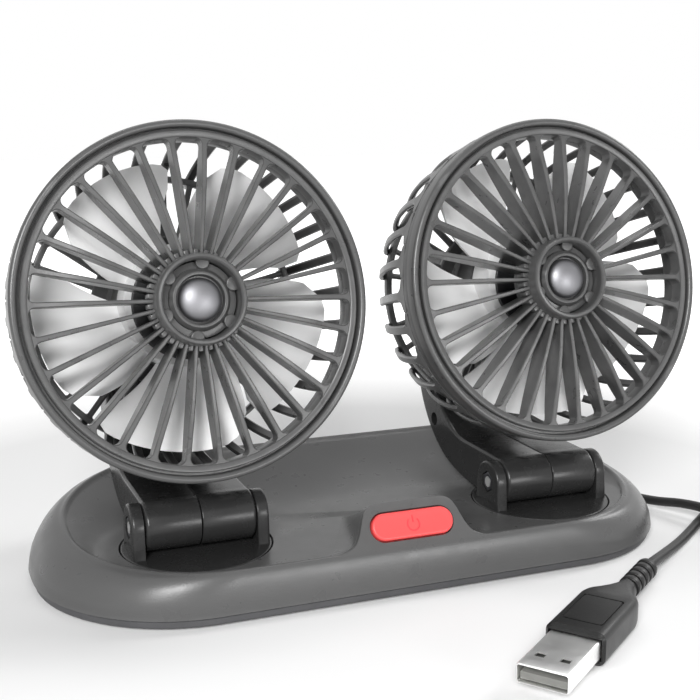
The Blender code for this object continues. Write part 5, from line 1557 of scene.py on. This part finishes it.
def coil_path():
    """Two layers: the upper one winds in, the lower one winds out."""
    half = math.pi * (COIL_TURNS + (COIL_EXIT - COIL_ENTRY) / 360)
    inner = COIL_MIDDLE_RADIUS - COIL_PITCH * half / math.tau / 2
    count = round(2 * half / math.tau * COIL_POINTS)
    middle = CORD_LEVEL + COIL_PITCH / 2
    path = []
    for k in range(count + 1):
        turn = -half + 2 * half * k / count
        radius = inner + COIL_PITCH * abs(turn) / math.tau
        angle = math.radians(COIL_ENTRY) + half + turn
        height = middle - COIL_PITCH / 2 * math.sin(max(min(turn, math.pi / 2), -math.pi / 2))
        path.append(Vector((COIL_X + radius * math.cos(angle), COIL_Y + radius * math.sin(angle), height)))
    return [path[0] - coil_heading(path[0])] + path + [path[-1] + coil_heading(path[-1])]


def cord_path():
    """The whole cord from the gland round the base's end, through the coil and on into the plug's relief."""
    coil = coil_path()
    gap = GAP / CORD_DIAMETER
    start = Vector(CORD_EXIT)
    lead_end = coil[0] - coil_heading(coil[1]) * gap
    points = [start, start + Vector((0, CORD_DIAMETER, 0))] + [Vector(point) for point in LEAD_POINTS]
    lead = smooth_path(points + [lead_end - coil_heading(coil[1]) * 1.5, lead_end], CORD_STEP)
    away = coil_heading(coil[-2])
    tail_start = coil[-1] + away * gap
    frame_here = plug_frame()
    end = SHELL_LENGTH + PLUG_BODY_LENGTH + RIB_COUNT * RIB_PITCH
    tail_end = frame_here @ Vector((end + GAP, 0, 0))
    along_plug = frame_here.to_3x3() @ Vector((CORD_DIAMETER, 0, 0))
    half_way = tail_start.lerp(tail_end, 0.5)
    half_way.z = CORD_LEVEL
    tail = smooth_path(
        [tail_start, tail_start + away * 1.5, half_way, tail_end + along_plug * 1.5, tail_end], CORD_STEP
    )
    inside = frame_here @ Vector((SHELL_LENGTH + PLUG_BODY_LENGTH, 0, 0))
    return lead[:-1] + coil + tail[1:] + [tail_end.lerp(inside, 0.5), inside]


def make_cord():
    """The cord as one tube, and the gland it leaves by."""
    finish = finishes()["cord_plastic"]
    path = cord_path()
    curve = bpy.data.curves.new("cord", "CURVE")
    curve.dimensions = "3D"
    curve.bevel_depth = CORD_DIAMETER / 2
    curve.bevel_resolution = 4
    curve.use_fill_caps = True
    spline = curve.splines.new("POLY")
    spline.points.add(len(path) - 1)
    for point, where in zip(spline.points, path):
        point.co = (*where, 1)
    curve.materials.append(finish)
    cord = bpy.data.objects.new("cord", curve)
    bpy.context.scene.collection.objects.link(cord)
    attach(cord, "base")
    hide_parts("cord_lead", "cord_coil", "cord_tail")
    profile = [(0, 0.0120), (0.0015, 0.0120), (0.0019, 0.0117)]
    for k in range(4, -1, -1):
        low = 0.0018 + k * 0.0019
        wide = 0.0028 - 0.0009 * (low + 0.0014 - 0.0012) / 0.0108
        profile += [
            (wide, low + 0.0013), (wide, low + 0.0003), (wide - 0.0004, low + 0.0002),
            (wide - 0.0004, low - 0.0004),
        ]
    profile += [
        (0.0027, 0.0012), (0.0028, 0.0010), (0.0028, 0), (0.0020, 0), (0.0020, -0.0034), (0.0028, -0.0034)
    ]
    profile += [(0.0028, -0.0046), (0, -0.0046)]
    gland = lathe(profile, "gland", 48)
    place = Matrix.Translation((CORD_EXIT[0], BASE_WIDTH / 2 + GAP, CORD_EXIT[2])) @ rotation(-90, "X")
    gland_piece = piece("cord_gland_fine", gland, "base", finish, ["cord_gland"], place)
    plug_pieces = make_plug_pieces()


def plug_ring(x, half_width, half_height, corner, steps=6):
    outline = rounded_outline(half_width, -half_height, half_height, corner, steps)
    return [(x, y, z) for y, z in outline]


def plug_body_mesh(material):
    """The moulded body with its panel line and ribbed relief."""
    keys = [Vector((x, wide, high)) for x, wide, high, _ in PLUG_RING_SHARES[2:]]
    smooth = smooth_path(keys, 0.03)
    table = [PLUG_RING_SHARES[0], PLUG_RING_SHARES[1]]
    table += [(point.x, point.y, point.z, 0.5 + 0.2 * (point.x - 0.6) / 0.4) for point in smooth]
    rings = []
    for x, wide, high, corner in table:
        half_height = high * PLUG_HALF_HEIGHT
        at = SHELL_LENGTH + x * PLUG_BODY_LENGTH
        rings.append(
            plug_ring(at, wide * PLUG_HALF_WIDTH, half_height, min(corner * PLUG_HALF_HEIGHT, half_height))
        )
    end = SHELL_LENGTH + PLUG_BODY_LENGTH
    rings.append(plug_ring(end + 0.0008, RIB_NECK, RIB_NECK, RIB_NECK))
    rings.append(plug_ring(end + RIB_COUNT * RIB_PITCH, RIB_NECK * 0.9, RIB_NECK * 0.9, RIB_NECK * 0.9))
    body = loft(rings, "plug_body")
    seat = SHELL_LENGTH + SHELL_SEAT
    half_width = SHELL_WIDTH / 2
    half_height = SHELL_HEIGHT / 2
    socket = box(
        (SHELL_LENGTH - 0.001, -half_width - GAP, -half_height - GAP),
        (seat + GAP, half_width + GAP, half_height + GAP), "socket",
    )
    body = cut(body, socket)
    for way in (-1, 1):
        outer = rounded_outline(0.0078, -0.0050, 0.0050, 0.0010, 4)
        inner = rounded_outline(0.0074, -0.0046, 0.0046, 0.0008, 4)
        level = way * PLUG_HALF_HEIGHT
        rows = []
        for outline, height in ((outer, 0.001), (outer, -0.0003), (inner, -0.0003), (inner, 0.001)):
            rows.append([(SHELL_LENGTH + 0.0120 + x, y, level + way * height) for x, y in outline])
        body = cut(body, loft(rows, "panel_line", looped=True))
    rib = filleted(
        ((0.0008, 0), (RIB_RADIUS, 0), (RIB_RADIUS, 0.0021), (0.0008, 0.0021)), 0.0005, 4, closed=True
    )
    ribs = along_x(lathe(rib, "rib", 40, closed=True))
    ribs = along(ribs, RIB_COUNT, (end + 0.0012, 0, 0), (RIB_PITCH, 0, 0), material)
    return joined("plug", body, ribs)


def plug_shell_mesh():
    """The metal shell with its two square holes."""
    seat = SHELL_LENGTH + SHELL_SEAT
    half_width = SHELL_WIDTH / 2
    half_height = SHELL_HEIGHT / 2
    corner = 0.0006
    rows = []
    wall = SHELL_WALL
    inner = (half_width - wall, half_height - wall, corner - wall * 0.6)
    for x, (wide, high, round_by) in (
        (0.0001, (half_width - 0.0001, half_height - 0.0001, corner)),
        (0.0004, (half_width, half_height, corner)),
        (seat, (half_width, half_height, corner)), (seat, inner), (0.0004, inner),
        (0.0, (half_width - 0.0003, half_height - 0.0003, corner - 0.0002)),
    ):
        rows.append(plug_ring(x, wide, high, round_by))
    shell = loft(rows, "shell", looped=True)
    half = SHELL_HOLE / 2
    for y in (-SHELL_HOLE_Y, SHELL_HOLE_Y):
        low = (SHELL_HOLE_X - half, y - half, -SHELL_HEIGHT)
        hole = box(low, (SHELL_HOLE_X + half, y + half, SHELL_HEIGHT), "hole")
        shell = cut(shell, hole)
    return shell


def plug_tongue_mesh():
    """The plastic tongue in the shell."""
    seat = SHELL_LENGTH + SHELL_SEAT
    half_width = SHELL_WIDTH / 2
    wall = SHELL_WALL
    low = -SHELL_HEIGHT / 2 + wall + GAP
    tongue = box(
        (0.0008, wall + GAP - half_width, low), (seat - 0.0007, half_width - wall - GAP, low + 0.0018),
        "tongue",
    )
    return bevelled(tongue, 0.0002)


def make_plug_pieces():
    """The plug's body, the metal shell and the tongue in it."""
    finish = finishes()
    place = plug_frame()
    rows = (
        ("plug_body", plug_body_mesh(finish["plug_plastic"]), "plug_plastic", "plug_plastic", 36.0),
        ("plug_shell", plug_shell_mesh(), "steel", "steel", 32.0),
        ("plug_tongue", plug_tongue_mesh(), "black_plastic", "pale_plastic", 32.0),
    )
    return [
        piece(f"{node}_fine", mesh, "base", finish[name], [node], place, sharp)
        for node, mesh, slot, name, sharp in rows
    ]


def dress_inner_parts():
    """Materials for the solids that stay as they are: motors, shafts, clips, switch and board."""
    finish = finishes()
    wanted = {"button_switch": "cover_plastic", "circuit_board": "board_green"}
    for side in SIDES:
        wanted[f"{side}_motor"] = "black_plastic"
        wanted[f"{side}_shaft"] = "steel"
        wanted[f"{side}_turntable_clip"] = "cover_plastic"
    for node, name in wanted.items():
        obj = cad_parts[node]
        if not obj.material_slots:
            obj.data.materials.append(finish[name])
        for slot in obj.material_slots:
            slot.material = finish[name]


# Stage


def lamp(name, where, target, width, height, power):
    light = bpy.data.lights.new(name, "AREA")
    light.shape = "RECTANGLE"
    light.size = width
    light.size_y = height
    light.energy = power
    obj = bpy.data.objects.new(name, light)
    obj.location = where
    obj.rotation_euler = (Vector(target) - Vector(where)).to_track_quat("-Z", "Y").to_euler()
    bpy.context.scene.collection.objects.link(obj)


def seen_rays(tree):
    """A mask that is 1 for camera, glossy and transmission rays."""
    path = tree.nodes.new("ShaderNodeLightPath")
    value = path.outputs["Is Camera Ray"]
    for label in ("Is Glossy Ray", "Is Transmission Ray"):
        value = calculated(tree, "MAXIMUM", value, path.outputs[label])
    return value


def make_stage():
    """White floor, soft lamps, white surroundings and the camera."""
    shape = bmesh.new()
    bmesh.ops.create_grid(shape, x_segments=1, y_segments=1, size=3.0)
    floor = bpy.data.objects.new("floor", mesh_from(shape, "floor"))
    bpy.context.scene.collection.objects.link(floor)
    paint = bpy.data.materials.new("floor_white")
    paint.use_nodes = True
    tree = paint.node_tree
    shader = tree.nodes["Principled BSDF"]
    shader.inputs["Base Color"].default_value = (FLOOR_SHADE, FLOOR_SHADE, FLOOR_SHADE, 1)
    shader.inputs["Roughness"].default_value = 0.8
    shader.inputs["Specular IOR Level"].default_value = 0.1
    place = tree.nodes.new("ShaderNodeTexCoord")
    reach = tree.nodes.new("ShaderNodeVectorMath")
    reach.operation = "LENGTH"
    tree.links.new(place.outputs["Object"], reach.inputs[0])
    far = remapped(tree, reach.outputs["Value"], *FLOOR_GLOW)
    glow = calculated(tree, "MULTIPLY", seen_rays(tree), far)
    shader.inputs["Emission Color"].default_value = (1, 1, 1, 1)
    tree.links.new(glow, shader.inputs["Emission Strength"])
    floor.data.materials.append(paint)
    world = bpy.data.worlds.new("studio")
    bpy.context.scene.world = world
    world.use_nodes = True
    tree = world.node_tree
    background = tree.nodes["Background"]
    background.inputs["Color"].default_value = (1, 1, 1, 1)
    strength = remapped(tree, seen_rays(tree), 0.0, 1.0, WORLD_LIGHT, 1.0)
    tree.links.new(strength, background.inputs["Strength"])
    for row in LAMPS:
        lamp(*row)
    scene = bpy.context.scene
    scene.view_settings.view_transform = "Standard"
    view = bpy.data.cameras.new("camera")
    view.lens = CAMERA_LENS
    view.sensor_width = 36
    view.clip_start = 0.01
    camera = bpy.data.objects.new("camera", view)
    camera.location = CAMERA_PLACE
    camera.rotation_euler = (math.radians(CAMERA_TILT), 0, math.radians(CAMERA_TURN))
    scene.collection.objects.link(camera)
    scene.camera = camera


# Operators, one for each group of pieces


class FanStep:
    """What each operator does: it runs the function of its own step."""

    def execute(self, context):
        self.build()
        return {"FINISHED"}


class MakeStage(FanStep, bpy.types.Operator):
    """Makes the floor, the lamps, the surroundings and the camera."""

    bl_idname = "fan.make_stage"
    bl_label = "Stage"
    build = staticmethod(make_stage)


class MakeCord(FanStep, bpy.types.Operator):
    """Makes the cord with its gland, its coil and its plug."""

    bl_idname = "fan.make_cord"
    bl_label = "Cord and plug"
    build = staticmethod(make_cord)


class MakeBase(FanStep, bpy.types.Operator):
    """Makes the casing of the base."""

    bl_idname = "fan.make_base"
    bl_label = "Base"
    build = staticmethod(make_base_shell)


class MakeCover(FanStep, bpy.types.Operator):
    """Makes the bottom cover with its feet and screws."""

    bl_idname = "fan.make_cover"
    bl_label = "Bottom cover, feet and screws"
    build = staticmethod(make_bottom_cover)


class MakeButton(FanStep, bpy.types.Operator):
    """Makes the button and its symbol."""

    bl_idname = "fan.make_button"
    bl_label = "Button"
    build = staticmethod(make_button)


class MakeTurntables(FanStep, bpy.types.Operator):
    """Makes both turntables with their hinge pins and nuts."""

    bl_idname = "fan.make_turntables"
    bl_label = "Turntables"
    build = staticmethod(make_turntables)


class MakeArms(FanStep, bpy.types.Operator):
    """Makes the halves of both arms and their screws."""

    bl_idname = "fan.make_arms"
    bl_label = "Arms"
    build = staticmethod(make_arms)


class MakeGuards(FanStep, bpy.types.Operator):
    """Makes both front guards with their fins."""

    bl_idname = "fan.make_guards"
    bl_label = "Guards"
    build = staticmethod(make_guards)


class MakeHubCaps(FanStep, bpy.types.Operator):
    """Makes the caps in the middle of the guards."""

    bl_idname = "fan.make_hub_caps"
    bl_label = "Hub caps"
    build = staticmethod(make_hub_caps)


class MakeBaskets(FanStep, bpy.types.Operator):
    """Makes the slatted cages behind the guards."""

    bl_idname = "fan.make_baskets"
    bl_label = "Cages"
    build = staticmethod(make_baskets)


class MakeRotors(FanStep, bpy.types.Operator):
    """Makes the blades, their cups and caps."""

    bl_idname = "fan.make_rotors"
    bl_label = "Rotors"
    build = staticmethod(make_rotors)


class DressInnerParts(FanStep, bpy.types.Operator):
    """Gives the motors, shafts, clips, switch and board their materials."""

    bl_idname = "fan.dress_inner_parts"
    bl_label = "Inner parts"
    build = staticmethod(dress_inner_parts)


STEPS = (
    MakeStage, MakeCord, MakeBase, MakeCover, MakeButton, MakeTurntables, MakeArms, MakeGuards, MakeHubCaps,
    MakeBaskets, MakeRotors, DressInnerParts,
)


class FanPanel(bpy.types.Panel):
    """Lists the steps and the sizes and colours."""

    bl_idname = "VIEW3D_PT_fan"
    bl_label = "Dual head fan"
    bl_space_type = "VIEW_3D"
    bl_region_type = "UI"
    bl_category = "Fan"

    def draw(self, context):
        for step in STEPS:
            self.layout.operator(step.bl_idname)
        for group in (context.scene.fan_sizes, context.scene.fan_colours):
            for name in group.bl_rna.properties.keys():
                if name not in ("rna_type", "name"):
                    self.layout.prop(group, name)


CLASSES = (FanSizes, FanColours, *STEPS, FanPanel)


def register():
    for item in CLASSES:
        bpy.utils.register_class(item)
    bpy.types.Scene.fan_sizes = PointerProperty(type=FanSizes)
    bpy.types.Scene.fan_colours = PointerProperty(type=FanColours)


def unregister():
    del bpy.types.Scene.fan_colours
    del bpy.types.Scene.fan_sizes
    for item in reversed(CLASSES):
        bpy.utils.unregister_class(item)


def main():
    register()
    for step in STEPS:
        group, name = step.bl_idname.split(".")
        getattr(getattr(bpy.ops, group), name)()


if __name__ == "__main__":
    main()
